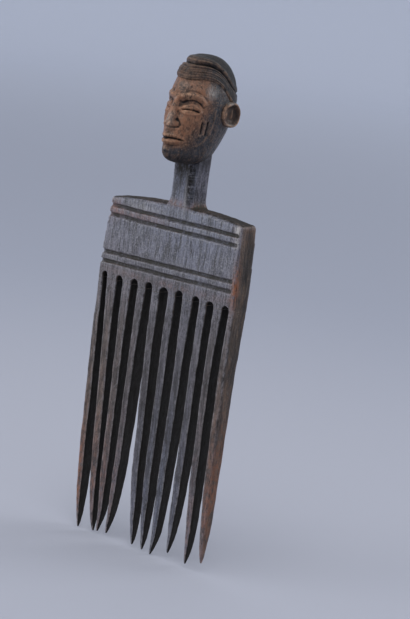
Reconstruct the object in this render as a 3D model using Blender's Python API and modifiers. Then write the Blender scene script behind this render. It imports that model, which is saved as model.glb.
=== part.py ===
"""A ten-toothed comb carved from one billet of dark hardwood, with a head for its handle.

Run it with: blender --background --python part.py

Metres, +Z up along the comb. The comb's face looks along -Y, and its flat back is the plane y = 0.
The origin is the middle of the plate's flat back, on the plate's centre line.
The carving is divided where the carver divides it: the plate, each tooth, the neck, the head, the
dressed hair and the ears. Neighbours meet at a seam of SEAM.
"""

import math

import bmesh
import bpy
from mathutils import Matrix, Vector

# The clearance left between neighbouring members, and how far a cutter runs past what it cuts
SEAM = 0.0003
OVERRUN = 0.0050

# The plate above the teeth
PLATE_TOP_WIDTH = 0.0560
PLATE_FOOT_WIDTH = 0.0586
PLATE_HEIGHT = 0.0285
PLATE_THICKNESS = 0.0078
PLATE_CORNER_RADIUS = 0.0013
PLATE_EDGE_ROUNDING = 0.0005
SHOULDER_RISE = 0.0015
NECK_SEAT_WIDTH = 0.0150
# The foot lies a little to the figure's right of the top, as a share of the plate's top width
PLATE_FOOT_SHIFT_SHARE = -0.010

# The two pairs of grooves cut across the plate's face, with each pair's middle below the top corners
GROOVE_WIDTH = 0.0014
GROOVE_DEPTH = 0.0008
GROOVE_PITCH = 0.0032
UPPER_GROOVES_DROP = 0.0050
LOWER_GROOVES_DROP = 0.0207
GROOVE_END_MARGIN = 0.0012
UPPER_GROOVES_TILT = math.radians(0.5)
LOWER_GROOVES_TILT = math.radians(-0.6)

# The slots between the teeth, with round tops. Each is cut by hand, so each has its own shift and width
SLOT_PITCH = 0.00655
SLOT_WIDTH = 0.0030
SLOT_TOP_DROP = 0.0263
SLOT_SHIFT_SHARES = (-0.02, -0.01, 0.01, -0.01, 0.00, 0.01, 0.11, 0.03, 0.00)
SLOT_WIDTH_SHARES = (0.66, 0.92, 1.08, 0.98, 1.22, 1.05, 0.98, 1.00, 0.94)
SLOT_LIFT_SHARES = (0.10, -0.05, 0.05, 0.12, 0.00, 0.10, -0.05, -0.18, -0.22)
# The middle slot's place from the plate's centre line, as a share of the pitch
SLOT_ROW_SHIFT_SHARE = -0.12

# The teeth: long, square in section at the plate, thinner behind than in front, and drawn out to a point
TOOTH_LENGTH = 0.0900
TOOTH_WIDTH = 0.0032
TOOTH_CHAMFER = 0.0004
TOOTH_TIP_WIDTH = 0.0006
TOOTH_TIP_DEPTH = 0.0006
# Where along a tooth the tables below give its sway, from the plate (0) to the tip (1)
SWAY_STATION_SHARES = (0.00, 0.27, 0.69, 0.91, 1.00)
# How far each tooth leans sideways at those stations, as shares of the slot pitch
TOOTH_SWAY_SHARES = (
    (0.00, -0.05, -0.04, 0.01, 0.07),
    (0.00, 0.02, 0.14, 0.25, 0.38),
    (0.00, -0.08, -0.16, -0.21, -0.36),
    (0.00, -0.19, -0.37, -0.58, -0.76),
    (0.00, -0.07, -0.05, 0.09, 0.11),
    (0.00, -0.11, -0.24, -0.24, -0.26),
    (0.00, -0.14, -0.36, -0.49, -0.72),
    (0.00, -0.15, -0.30, -0.46, -0.58),
    (0.00, -0.21, -0.27, -0.25, -0.32),
    (0.00, -0.16, -0.22, -0.18, -0.15),
)
TOOTH_WIDTH_SHARES = (0.86, 1.08, 1.06, 0.90, 1.02, 1.05, 1.08, 1.04, 0.95, 0.86)
TOOTH_REACH_SHARES = (1.00, 0.995, 0.99, 0.985, 0.99, 0.995, 1.00, 0.97, 0.985, 0.96)
# Along a tooth: station, width share, how far the front and the back draw in as shares of the
# plate's thickness, and the width of the back as a share of the front's
TOOTH_TAPER_SHARES = (
    (0.00, 1.00, 0.00, 0.00, 0.90),
    (0.12, 1.00, 0.05, 0.01, 0.78),
    (0.30, 1.00, 0.13, 0.01, 0.66),
    (0.50, 0.99, 0.19, 0.02, 0.60),
    (0.70, 0.96, 0.24, 0.05, 0.58),
    (0.80, 0.84, 0.28, 0.08, 0.60),
    (0.88, 0.65, 0.32, 0.13, 0.64),
    (0.94, 0.46, 0.37, 0.22, 0.70),
    (0.98, 0.29, 0.43, 0.33, 0.80),
    (1.00, 0.00, 0.48, 0.44, 1.00),
)

# The neck: a squared column, flat in front, its sides a little wider apart behind than in front
NECK_HEIGHT = 0.0222
NECK_TOP_NARROWING = 0.0010
NECK_FACE_WIDTH = 0.0061
NECK_BACK_WIDTH = 0.0122
NECK_CHAMFER = 0.0017
NECK_BACK_CHAMFER = 0.0007
NECK_SHIFT = 0.0005
NECK_FLARE = 0.0009
NECK_FLARE_HEIGHT = 0.0026

# The head, measured from under the chin to the crown, across the temples, and from the brow to the nape
HEAD_HEIGHT = 0.0342
HEAD_WIDTH = 0.0198
HEAD_DEPTH = 0.0262
CHIN_LIFT = 0.0158
HEAD_MERIDIANS = 56
HEAD_RINGS = 60
# Up the head, from the chin (0) to the crown (1): the height, the width share, the depth share, how
# far the middle of that level lies in front of the plate's back, as a share of the head's depth, and
# the share by which the face is narrower than the back of the head
HEAD_LEVEL_SHARES = (
    (0.00, 0.88, 0.98, 0.270, 0.44),
    (0.08, 0.90, 1.02, 0.265, 0.42),
    (0.18, 0.90, 0.99, 0.245, 0.35),
    (0.30, 0.91, 0.94, 0.210, 0.24),
    (0.42, 0.95, 0.96, 0.150, 0.16),
    (0.54, 0.98, 1.00, 0.105, 0.13),
    (0.68, 1.00, 1.01, 0.085, 0.12),
    (0.84, 1.00, 1.01, 0.090, 0.12),
    (1.00, 0.98, 0.98, 0.100, 0.12),
)
# How square the head is towards the chin and towards the crown: 1 is a ball, and less is squarer
JAW_ROUNDNESS_SHARE = 0.50
CROWN_ROUNDNESS_SHARE = 0.88
# Rounded forms of the face: place across (share of half the width) and up (share of the height),
# reach across and up (the same shares), relief (share of the depth), and how much the ends droop
# (share of the reach up). All are on both sides
FACE_FORM_SHARES = {
    "brow": (0.44, 0.645, 0.60, 0.062, 0.030, 0.5),
    "eye_socket": (0.44, 0.556, 0.50, 0.100, -0.085, 0.4),
    "eyeball": (0.43, 0.535, 0.38, 0.042, 0.066, 0.2),
    "cheekbone": (0.60, 0.430, 0.50, 0.120, 0.026, 0.0),
    "nose_wing": (0.17, 0.385, 0.20, 0.034, 0.036, 0.0),
    "muzzle": (0.00, 0.240, 0.80, 0.160, 0.040, 0.0),
    "upper_lip": (0.00, 0.272, 0.80, 0.046, 0.034, 0.0),
    "lower_lip": (0.00, 0.206, 0.74, 0.050, 0.036, 0.0),
    "chin": (0.00, 0.085, 0.62, 0.120, 0.056, 0.0),
}
# Down the nose, from between the brows (0) to its base (1): the place, how far it stands out as a
# share of the head's depth, and its half width as a share of half the head's width
NOSE_TOP_SHARE = 0.625
NOSE_BASE_SHARE = 0.365
NOSE_SHARES = (
    (0.00, 0.030, 0.24),
    (0.35, 0.050, 0.25),
    (0.80, 0.088, 0.31),
    (1.00, 0.086, 0.38),
)
NOSE_END_SHARE = 0.060
NOSE_FLATNESS = 1.35

# The dressed hair: a cap of bands that stands proud of the skull, fuller than it at the crown
HAIR_STAND = 0.0010
HAIR_CROWN_LIFT = 0.0009
HAIR_HEIGHT = 0.0100
HAIR_ROUNDNESS_SHARE = 0.72
HAIR_POLE_LEAN = math.radians(20)
HAIR_MERIDIANS = 52
HAIR_CAP_RINGS = 6
HAIRLINE_STEPS = 48
# The hairline runs level over the forehead, then sweeps down past the temples to the ears: how far back
# it is, as a share of the head's depth, and how far down, as a share of the head's height
HAIRLINE_FRONT_SHARE = 0.815
HAIRLINE_SWEEP_SHARES = (
    (-0.60, 0.000),
    (-0.12, 0.000),
    (0.03, -0.002),
    (0.19, 0.006),
    (0.30, 0.032),
    (0.42, 0.096),
    (0.53, 0.184),
    (0.68, 0.243),
    (0.95, 0.278),
    (1.40, 0.290),
)
# Up the hair from the hairline: the place as a share of the hair's height, and how far its bands stand
# out there, as a share of the hair's stand. The deep cut lies under the ridge of the crown
HAIR_BAND_SHARES = (
    (-0.20, 0.20),
    (0.00, 0.40),
    (0.07, 0.65),
    (0.12, 0.55),
    (0.16, 0.10),
    (0.20, 0.50),
    (0.26, 0.70),
    (0.32, 0.65),
    (0.36, 0.20),
    (0.40, 0.55),
    (0.45, 0.50),
    (0.485, -0.35),
    (0.52, -0.30),
    (0.56, 0.80),
    (0.63, 1.00),
    (0.69, 0.80),
    (0.73, 0.45),
    (0.77, 0.75),
    (0.85, 0.85),
    (0.93, 0.90),
    (1.00, 0.90),
)

# The ears: an oval of EAR_HEIGHT by EAR_LENGTH with a raised rim round a hollow bowl
EAR_HEIGHT = 0.0084
EAR_LENGTH = 0.0080
EAR_STAND = 0.0019
EAR_BOWL_DEPTH = 0.0012
EAR_SEGMENTS = 24
EAR_HEIGHT_SHARE = 0.513
EAR_SETBACK = 0.0008
EAR_LEAN = math.radians(12)
EAR_ROOT = 0.0036
EAR_ROOT_ROUNDNESS_SHARE = 0.35
# The hollow of the ear lies towards the face, so its rim is a C that opens forward
EAR_BOWL_FORWARD_SHARE = 0.22
EAR_BOWL_REACH_SHARE = 0.90

TEETH_COLOUR = (0.052, 0.043, 0.038)
PLATE_COLOUR = (0.058, 0.056, 0.062)
SKIN_COLOUR = (0.085, 0.056, 0.042)
HAIR_COLOUR = (0.046, 0.040, 0.038)

PLATE_TOP = PLATE_HEIGHT / 2
PLATE_FOOT = -PLATE_HEIGHT / 2
NECK_SEAT = PLATE_TOP + SHOULDER_RISE
CHIN_BOTTOM = PLATE_TOP + CHIN_LIFT
FACE_PLANE = -PLATE_THICKNESS


def blend(low, high, share):
    return low + (high - low) * share


def smooth_step(share):
    share = min(1.0, max(0.0, share))
    return share * share * (3 - 2 * share)


def along(stations, values, place):
    """Reads a smooth curve through the values at the stations, without overshooting between them."""
    place = min(stations[-1], max(stations[0], place))
    last = max(i for i in range(len(stations) - 1) if stations[i] <= place)
    slopes = [
        (values[i + 1] - values[i]) / (stations[i + 1] - stations[i])
        for i in range(len(stations) - 1)
    ]

    def tangent(i):
        if i in (0, len(stations) - 1):
            return slopes[min(i, len(slopes) - 1)]
        if slopes[i - 1] * slopes[i] <= 0:
            return 0.0
        return 2 * slopes[i - 1] * slopes[i] / (slopes[i - 1] + slopes[i])

    span = stations[last + 1] - stations[last]
    t = (place - stations[last]) / span
    rise = values[last + 1] - values[last]
    first, second = tangent(last) * span, tangent(last + 1) * span
    return values[last] + t * first + t * t * (3 * rise - 2 * first - second) + (
        t**3 * (first + second - 2 * rise)
    )


def column(table, index):
    return [row[index] for row in table]


def clear_scene():
    for obj in list(bpy.data.objects):
        bpy.data.objects.remove(obj, do_unlink=True)


def new_collection(name):
    collection = bpy.data.collections.new(name)
    bpy.context.scene.collection.children.link(collection)
    return collection


def wood(name, colour, roughness):
    material = bpy.data.materials.new(name)
    material.use_nodes = True
    shader = material.node_tree.nodes["Principled BSDF"]
    shader.inputs["Base Color"].default_value = (*colour, 1)
    shader.inputs["Roughness"].default_value = roughness
    shader.inputs["Metallic"].default_value = 0
    return material


def add_part(name, mesh, material, smooth_below=math.radians(35)):
    obj = bpy.data.objects.new(name, mesh)
    PARTS.objects.link(obj)
    mesh.materials.clear()
    mesh.materials.append(material)
    mesh.shade_smooth()
    mesh.set_sharp_from_angle(angle=smooth_below)
    return obj


def add_cutter(name, mesh):
    obj = bpy.data.objects.new(name, mesh)
    CUTTERS.objects.link(obj)
    obj.hide_render = True
    obj.display_type = "WIRE"
    return obj


def cut(obj, cutter):
    modifier = obj.modifiers.new(cutter.name, "BOOLEAN")
    modifier.operation = "DIFFERENCE"
    modifier.solver = "EXACT"
    modifier.object = cutter


def upright_slab(name, outline, half_depth):
    """A mesh of a flat outline in X and Z, filled and thickened half_depth to each side of y = 0."""
    curve = bpy.data.curves.new(name, "CURVE")
    curve.dimensions = "2D"
    curve.fill_mode = "BOTH"
    curve.extrude = half_depth
    spline = curve.splines.new("POLY")
    spline.points.add(len(outline) - 1)
    for point, (x, z) in zip(spline.points, outline):
        point.co = (x, z, 0, 1)
    spline.use_cyclic_u = True
    drawn = bpy.data.objects.new(name, curve)
    bpy.context.scene.collection.objects.link(drawn)
    graph = bpy.context.evaluated_depsgraph_get()
    mesh = bpy.data.meshes.new_from_object(drawn.evaluated_get(graph))
    bpy.data.objects.remove(drawn)
    bpy.data.curves.remove(curve)
    solid = bmesh.new()
    solid.from_mesh(mesh)
    bmesh.ops.remove_doubles(solid, verts=solid.verts, dist=SEAM / 10)
    bmesh.ops.dissolve_limit(
        solid, angle_limit=math.radians(0.1), verts=solid.verts, edges=solid.edges
    )
    bmesh.ops.rotate(solid, verts=solid.verts, matrix=Matrix.Rotation(math.pi / 2, 3, "X"))
    bmesh.ops.recalc_face_normals(solid, faces=solid.faces)
    solid.to_mesh(mesh)
    solid.free()
    mesh.name = name
    return mesh


def loft(name, rings):
    """A closed solid through rings of equally many points, with a flat cap at each end."""
    solid = bmesh.new()
    rows = [[solid.verts.new(point) for point in ring] for ring in rings]
    for lower, upper in zip(rows, rows[1:]):
        for i in range(len(lower)):
            after = (i + 1) % len(lower)
            solid.faces.new((lower[i], lower[after], upper[after], upper[i]))
    solid.faces.new(rows[0])
    solid.faces.new(rows[-1])
    bmesh.ops.recalc_face_normals(solid, faces=solid.faces)
    mesh = bpy.data.meshes.new(name)
    solid.to_mesh(mesh)
    solid.free()
    return mesh


def arc(centre_x, centre_z, radius, start, end, steps=5):
    turn = (end - start) / steps
    return [
        (
            centre_x + radius * math.cos(start + turn * i),
            centre_z + radius * math.sin(start + turn * i),
        )
        for i in range(steps + 1)
    ]


def plate_edge(side, drop_share):
    """X of the plate's left (-1) or right (1) edge, from its top corners (0) to its foot (1)."""
    swelling = math.sin(drop_share * math.pi / 2)
    half_width = blend(PLATE_TOP_WIDTH, PLATE_FOOT_WIDTH, swelling) / 2
    return side * half_width + PLATE_FOOT_SHIFT_SHARE * PLATE_TOP_WIDTH * swelling


def shoulder(side, steps=6):
    """Points from beside a top corner up the gently crowned shoulder to the neck's seat."""
    corner = side * (PLATE_TOP_WIDTH / 2 - PLATE_CORNER_RADIUS)
    seat = side * NECK_SEAT_WIDTH / 2 + NECK_SHIFT
    shares = [(i + 1) / steps for i in range(steps)]
    return [
        (blend(corner, seat, share), PLATE_TOP + SHOULDER_RISE * math.sin(share * math.pi / 2))
        for share in shares
    ]


def plate_outline(edge_steps=4):
    """The plate's outline, run on below its foot for the slots' cutter to trim."""
    drops = [i / edge_steps for i in range(edge_steps + 1)]
    radius = PLATE_CORNER_RADIUS
    corner_x = PLATE_TOP_WIDTH / 2 - radius
    corner_z = PLATE_TOP - radius
    left = [(plate_edge(-1, drop), blend(corner_z, PLATE_FOOT, drop)) for drop in drops]
    right = [(plate_edge(1, drop), blend(corner_z, PLATE_FOOT, drop)) for drop in drops]
    outline = [(right[-1][0], PLATE_FOOT - OVERRUN)] + right[::-1]
    outline += arc(corner_x, corner_z, radius, 0, math.pi / 2)[1:]
    outline += shoulder(1)
    outline += shoulder(-1)[::-1]
    outline += arc(-corner_x, corner_z, radius, math.pi / 2, math.pi)[:-1]
    outline += left
    return outline + [(left[-1][0], PLATE_FOOT - OVERRUN)]


def slot_span(index):
    """Left and right X of a slot, numbered from 0 at the figure's right."""
    middle = (len(SLOT_WIDTH_SHARES) - 1) / 2
    place = index - middle + SLOT_SHIFT_SHARES[index] + SLOT_ROW_SHIFT_SHARE
    half_width = SLOT_WIDTH * SLOT_WIDTH_SHARES[index] / 2
    return place * SLOT_PITCH - half_width, place * SLOT_PITCH + half_width


def slots_outline():
    """A comb of round-topped fingers standing on a bar, which cuts the slots and trims the foot."""
    end = PLATE_FOOT_WIDTH / 2 + OVERRUN
    outline = [(-end, PLATE_FOOT - 2 * OVERRUN), (-end, PLATE_FOOT)]
    for index, lift_share in enumerate(SLOT_LIFT_SHARES):
        left, right = slot_span(index)
        radius = (right - left) / 2
        top = PLATE_TOP - SLOT_TOP_DROP + lift_share * SLOT_WIDTH - radius
        outline += [(left, PLATE_FOOT)]
        outline += arc((left + right) / 2, top, radius, math.pi, 0, steps=8)
        outline += [(right, PLATE_FOOT)]
    return outline + [(end, PLATE_FOOT), (end, PLATE_FOOT - 2 * OVERRUN)]


def groove_cutter(name, drop, tilt):
    """A round bar across the face whose lower side cuts a groove, ending short of the right edge."""
    radius = (GROOVE_WIDTH**2 / 4 + GROOVE_DEPTH**2) / (2 * GROOVE_DEPTH)
    left = -PLATE_FOOT_WIDTH / 2 - OVERRUN
    right = PLATE_TOP_WIDTH / 2 - GROOVE_END_MARGIN
    solid = bmesh.new()
    bmesh.ops.create_cone(
        solid,
        cap_ends=True,
        segments=16,
        radius1=radius,
        radius2=radius,
        depth=right - left,
        matrix=Matrix.Translation(((left + right) / 2, FACE_PLANE + GROOVE_DEPTH - radius, 0))
        @ Matrix.Rotation(math.pi / 2, 4, "Y"),
    )
    mesh = bpy.data.meshes.new(name)
    solid.to_mesh(mesh)
    solid.free()
    cutter = add_cutter(name, mesh)
    cutter.location.z = PLATE_TOP - drop
    cutter.rotation_euler.y = tilt
    return cutter


def make_plate():
    mesh = upright_slab("plate", plate_outline(), PLATE_THICKNESS / 2)
    mesh.transform(Matrix.Translation((0, -PLATE_THICKNESS / 2, 0)))
    plate = add_part("plate", mesh, wood("plate_wood", PLATE_COLOUR, 0.42))
    rounding = plate.modifiers.new("rounded edges", "BEVEL")
    rounding.width = PLATE_EDGE_ROUNDING
    rounding.segments = 2
    rounding.limit_method = "ANGLE"
    rounding.angle_limit = math.radians(60)
    slots = upright_slab("slot_cutter", slots_outline(), PLATE_THICKNESS + OVERRUN)
    cut(plate, add_cutter("slot_cutter", slots))
    for name, drop, tilt in (
        ("upper_groove", UPPER_GROOVES_DROP, UPPER_GROOVES_TILT),
        ("lower_groove", LOWER_GROOVES_DROP, LOWER_GROOVES_TILT),
    ):
        cut(plate, groove_cutter(name + "_above", drop - GROOVE_PITCH / 2, tilt))
        cut(plate, groove_cutter(name + "_below", drop + GROOVE_PITCH / 2, tilt))
    return plate


def tooth_root(index):
    """Left and right X of a tooth where it leaves the plate."""
    last = len(TOOTH_WIDTH_SHARES) - 1
    left = plate_edge(-1, 1) if index == 0 else slot_span(index - 1)[1]
    right = plate_edge(1, 1) if index == last else slot_span(index)[0]
    return left, right


def tooth_ring(index, station):
    """The eight-cornered section of a tooth at a station from its root (0) to its tip (1)."""
    stations = column(TOOTH_TAPER_SHARES, 0)
    taper = along(stations, column(TOOTH_TAPER_SHARES, 1), station)
    front_draw = along(stations, column(TOOTH_TAPER_SHARES, 2), station)
    back_draw = along(stations, column(TOOTH_TAPER_SHARES, 3), station)
    back_share = along(stations, column(TOOTH_TAPER_SHARES, 4), station)
    left, right = tooth_root(index)
    settled = smooth_step(station / SWAY_STATION_SHARES[1])
    full_width = blend(right - left, TOOTH_WIDTH * TOOTH_WIDTH_SHARES[index], settled)
    width = max(full_width * taper, TOOTH_TIP_WIDTH)
    sway = along(SWAY_STATION_SHARES, TOOTH_SWAY_SHARES[index], station)
    middle = (left + right) / 2 + sway * SLOT_PITCH
    front = FACE_PLANE + front_draw * PLATE_THICKNESS
    back = -back_draw * PLATE_THICKNESS
    spare = max(0.0, TOOTH_TIP_DEPTH - (back - front)) / 2
    front, back = front - spare, back + spare
    z = PLATE_FOOT - SEAM - station * TOOTH_LENGTH * TOOTH_REACH_SHARES[index]
    chamfer = min(TOOTH_CHAMFER, width * back_share / 4, (back - front) / 4)
    half_front, half_back = width / 2, width * back_share / 2
    section = (
        (-half_front + chamfer, front),
        (half_front - chamfer, front),
        (half_front, front + chamfer),
        (half_back, back - chamfer),
        (half_back - chamfer, back),
        (-half_back + chamfer, back),
        (-half_back, back - chamfer),
        (-half_front, front + chamfer),
    )
    return [(middle + x, y, z) for x, y in section]


def make_tooth(index, material):
    stations = [0.0, 0.06, 0.14, 0.22, 0.30, 0.40, 0.50, 0.60, 0.70, 0.78, 0.85, 0.91, 0.95, 0.98, 1.0]
    name = f"tooth_{index + 1:02d}"
    mesh = loft(name, [tooth_ring(index, station) for station in stations])
    return add_part(name, mesh, material)


def neck_ring(height):
    """The eight-cornered section of the neck at a height above its seat, flared at its foot."""
    flare = NECK_FLARE * (1 - smooth_step(height / NECK_FLARE_HEIGHT))
    half_face = NECK_FACE_WIDTH / 2 + flare
    narrowing = NECK_TOP_NARROWING * smooth_step(height / NECK_HEIGHT)
    half_back = (NECK_BACK_WIDTH - narrowing) / 2 + flare
    slant = (half_back - half_face - NECK_CHAMFER) / (PLATE_THICKNESS - NECK_CHAMFER)
    half_rear = half_back - slant * NECK_BACK_CHAMFER
    right_side = (
        (half_face, FACE_PLANE),
        (half_face + NECK_CHAMFER, FACE_PLANE + NECK_CHAMFER),
        (half_rear, -NECK_BACK_CHAMFER),
        (half_rear - NECK_BACK_CHAMFER, 0.0),
    )
    section = right_side + tuple((-x, y) for x, y in right_side[::-1])
    return [(NECK_SHIFT + x, y, NECK_SEAT + SEAM + height) for x, y in section]


def make_neck(grown_head):
    steps = 4
    heights = [NECK_FLARE_HEIGHT * i / steps for i in range(steps + 1)]
    heights += [(NECK_FLARE_HEIGHT + NECK_HEIGHT) / 2, NECK_HEIGHT]
    mesh = loft("neck", [neck_ring(height) for height in heights])
    neck = add_part("neck", mesh, wood("neck_wood", PLATE_COLOUR, 0.45))
    cut(neck, grown_head)
    return neck


def mound(distance):
    """One at the middle of a rounded form, falling smoothly to nothing at its edge, at 1."""
    return smooth_step(1 - distance)


def face_relief(across, height):
    """How far the face stands out at a place across and up it, as a share of the head's depth."""
    relief = 0.0
    for place, level, reach_across, reach_up, share, droop in FACE_FORM_SHARES.values():
        off_across = (abs(across) - place) / reach_across
        off_up = (height - level) / reach_up + droop * off_across**2
        relief += share * mound(math.hypot(off_across, off_up))
    down = min(1.0, max(0.0, (NOSE_TOP_SHARE - height) / (NOSE_TOP_SHARE - NOSE_BASE_SHARE)))
    places = column(NOSE_SHARES, 0)
    stand = along(places, column(NOSE_SHARES, 1), down)
    half_width = along(places, column(NOSE_SHARES, 2), down)
    started = smooth_step((NOSE_TOP_SHARE - height) / NOSE_END_SHARE + 1)
    ended = smooth_step((height - NOSE_BASE_SHARE) / NOSE_END_SHARE + 1)
    ridge = smooth_step((1 - abs(across) / half_width) * NOSE_FLATNESS)
    return relief + stand * ridge * started * ended


def head_point(direction, stand=0.0, dressed=False):
    """The head's surface for a direction of a unit sphere, stand outside it, bare or under the hair."""
    height = (direction.z + 1) / 2
    level = math.hypot(direction.x, direction.y)
    crown = HAIR_ROUNDNESS_SHARE if dressed else CROWN_ROUNDNESS_SHARE
    roundness = JAW_ROUNDNESS_SHARE if direction.z < 0 else crown
    fullness = level**roundness / level if level else 1.0
    across, forward = direction.x * fullness, -direction.y * fullness
    levels = column(HEAD_LEVEL_SHARES, 0)
    width_share = along(levels, column(HEAD_LEVEL_SHARES, 1), height)
    depth_share = along(levels, column(HEAD_LEVEL_SHARES, 2), height)
    forward_share = along(levels, column(HEAD_LEVEL_SHARES, 3), height)
    narrowing = 1 - along(levels, column(HEAD_LEVEL_SHARES, 4), height) * max(0.0, forward)
    x = HEAD_WIDTH / 2 * width_share * narrowing * across
    facing = smooth_step(forward * 2)
    relief = 0.0 if dressed else face_relief(across, height) * facing
    y = -HEAD_DEPTH * (depth_share * forward / 2 + forward_share + relief)
    z = CHIN_BOTTOM + HEAD_HEIGHT * height
    if dressed:
        z += HAIR_CROWN_LIFT * smooth_step(direction.z)
    return Vector((x + NECK_SHIFT, y, z)) + direction * stand


def head_form(name, meridians, rings, stand=0.0):
    """A sphere shaped into the head, with its lines drawn together over the face."""
    solid = bmesh.new()
    bmesh.ops.create_uvsphere(solid, u_segments=meridians, v_segments=rings, radius=1)
    for vert in solid.verts:
        turn = math.atan2(vert.co.x, -vert.co.y)
        rise = math.asin(min(1.0, max(-1.0, vert.co.z)))
        turn -= math.sin(turn) / 2
        rise -= math.sin(2 * rise) / 4
        level = math.cos(rise)
        direction = Vector((level * math.sin(turn), -level * math.cos(turn), math.sin(rise)))
        vert.co = head_point(direction, stand)
    bmesh.ops.recalc_face_normals(solid, faces=solid.faces)
    mesh = bpy.data.meshes.new(name)
    solid.to_mesh(mesh)
    solid.free()
    return mesh


def hairline_start():
    """Where the hairline crosses the middle of the forehead."""
    height = HAIRLINE_FRONT_SHARE
    level = math.sqrt(1 - (2 * height - 1) ** 2)
    return head_point(Vector((0, -level, 2 * height - 1)))


def hairline(y):
    """Z of the hairline at a place from front to back."""
    start = hairline_start()
    places = column(HAIRLINE_SWEEP_SHARES, 0)
    drops = column(HAIRLINE_SWEEP_SHARES, 1)
    return start.z - HEAD_HEIGHT * along(places, drops, (y - start.y) / HEAD_DEPTH)


def above_hairline(point):
    """How far a point lies straight above the hairline, so that the bands close up as they sweep down."""
    return point.z - hairline(point.y)


def hairline_cutter(name, side):
    """A slab that takes away what is above (1) or below (-1) the hairline, and half the seam."""
    start = hairline_start()
    places = column(HAIRLINE_SWEEP_SHARES, 0)
    outline = []
    for i in range(HAIRLINE_STEPS + 1):
        y = start.y + HEAD_DEPTH * blend(places[0], places[-1], i / HAIRLINE_STEPS)
        slope = (hairline(y + SEAM) - hairline(y - SEAM)) / (2 * SEAM)
        outline.append((y, hairline(y) - side * SEAM / 2 * math.hypot(1, slope)))
    far = start.z + side * HEAD_HEIGHT * 2
    outline += [(outline[-1][0], far), (outline[0][0], far)]
    mesh = upright_slab(name, outline, HEAD_WIDTH)
    mesh.transform(Matrix.Rotation(math.pi / 2, 4, "Z"))
    return add_cutter(name, mesh)


def hair_form(name, stand):
    """The banded cap: a loft through rings that each lie at one height above the hairline."""
    lean = Matrix.Rotation(-HAIR_POLE_LEAN, 3, "X")

    def surface(turn, fall):
        level = math.sin(fall)
        direction = Vector((level * math.sin(turn), -level * math.cos(turn), math.cos(fall)))
        direction.rotate(lean)
        return direction, head_point(direction, stand, dressed=True)

    heights = [HAIR_HEIGHT * share for share, _ in HAIR_BAND_SHARES]
    cap = above_hairline(surface(0, 0)[1]) - heights[-1]
    steps = [step / (HAIR_CAP_RINGS + 1) for step in range(1, HAIR_CAP_RINGS + 1)]
    heights += [heights[-1] + cap * math.sin(share * math.pi / 2) for share in steps]
    rings = []
    for height in heights:
        ring = []
        relief = HAIR_STAND * along(
            column(HAIR_BAND_SHARES, 0), column(HAIR_BAND_SHARES, 1), height / HAIR_HEIGHT
        )
        for meridian in range(HAIR_MERIDIANS):
            turn = math.tau * meridian / HAIR_MERIDIANS
            near, far = 0.0, math.pi * 0.75
            for _ in range(30):
                fall = (near + far) / 2
                if above_hairline(surface(turn, fall)[1]) > height:
                    near = fall
                else:
                    far = fall
            direction, point = surface(turn, fall)
            ring.append(point + direction * relief)
        rings.append(ring)
    return loft(name, rings)


def make_ear(side, grown_head, grown_hair, material):
    """An oval boss on the side of the head with its outer face hollowed inside a raised rim."""
    name = "ear_left" if side > 0 else "ear_right"
    solid = bmesh.new()
    bmesh.ops.create_uvsphere(solid, u_segments=EAR_SEGMENTS, v_segments=EAR_SEGMENTS // 2, radius=1)
    bmesh.ops.rotate(solid, verts=solid.verts, matrix=Matrix.Rotation(math.pi / 2, 3, "Y"))
    lean = Matrix.Rotation(EAR_LEAN, 3, "X")
    centre = Vector((NECK_SHIFT, EAR_SETBACK, CHIN_BOTTOM + HEAD_HEIGHT * EAR_HEIGHT_SHARE))
    for vert in solid.verts:
        out, back, up = vert.co
        spread = math.hypot(back, up)
        bowl_spread = math.hypot(back + EAR_BOWL_FORWARD_SHARE, up) / EAR_BOWL_REACH_SHARE
        hollow = EAR_BOWL_DEPTH * mound(bowl_spread) if out > 0 else 0.0
        fullness = spread**EAR_ROOT_ROUNDNESS_SHARE / spread if spread and out < 0 else 1.0
        point = lean @ Vector((0, back * EAR_LENGTH, up * EAR_HEIGHT)) * fullness / 2
        point.x = side * (HEAD_WIDTH / 2 + out * (EAR_STAND if out > 0 else EAR_ROOT) - hollow)
        vert.co = centre + point
    bmesh.ops.recalc_face_normals(solid, faces=solid.faces)
    mesh = bpy.data.meshes.new(name)
    solid.to_mesh(mesh)
    solid.free()
    ear = add_part(name, mesh, material)
    cut(ear, grown_head)
    cut(ear, grown_hair)
    return ear


def make_head():
    skin = wood("head_wood", SKIN_COLOUR, 0.4)
    form = head_form("head", HEAD_MERIDIANS, HEAD_RINGS)
    head = add_part("head", form, skin, smooth_below=math.radians(60))
    cut(head, hairline_cutter("hair_side_cutter", 1))
    return head


def make_coiffure():
    form = hair_form("coiffure", 0.0)
    coiffure = add_part("coiffure", form, wood("hair_wood", HAIR_COLOUR, 0.5))
    cut(coiffure, hairline_cutter("skull_side_cutter", -1))
    return coiffure


clear_scene()
PARTS = new_collection("anthropomorphic_comb")
CUTTERS = new_collection("cutters")

make_plate()
teeth_wood = wood("teeth_wood", TEETH_COLOUR, 0.45)
for tooth_index in range(len(TOOTH_WIDTH_SHARES)):
    make_tooth(tooth_index, teeth_wood)

head_allowance = add_cutter(
    "head_allowance", head_form("head_allowance", HEAD_MERIDIANS, HEAD_RINGS, SEAM)
)
hair_allowance = add_cutter("hair_allowance", hair_form("hair_allowance", SEAM))
cut(hair_allowance, hairline_cutter("hair_allowance_cutter", -1))
make_neck(head_allowance)
make_head()
make_coiffure()
ear_wood = wood("ear_wood", SKIN_COLOUR, 0.45)
make_ear(1, head_allowance, hair_allowance, ear_wood)
make_ear(-1, head_allowance, hair_allowance, ear_wood)
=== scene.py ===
"""The looks of a hand-carved wooden comb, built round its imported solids.

The script follows the comb as it is carved: the camera first, then the blade with its plate, teeth and
neck, the head, the dressed hair and the ears, and last the floor and the light it stands in.
Lengths are in metres, in the frame of the solids: +Z up along the comb, its face towards -Y.
"""

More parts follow.
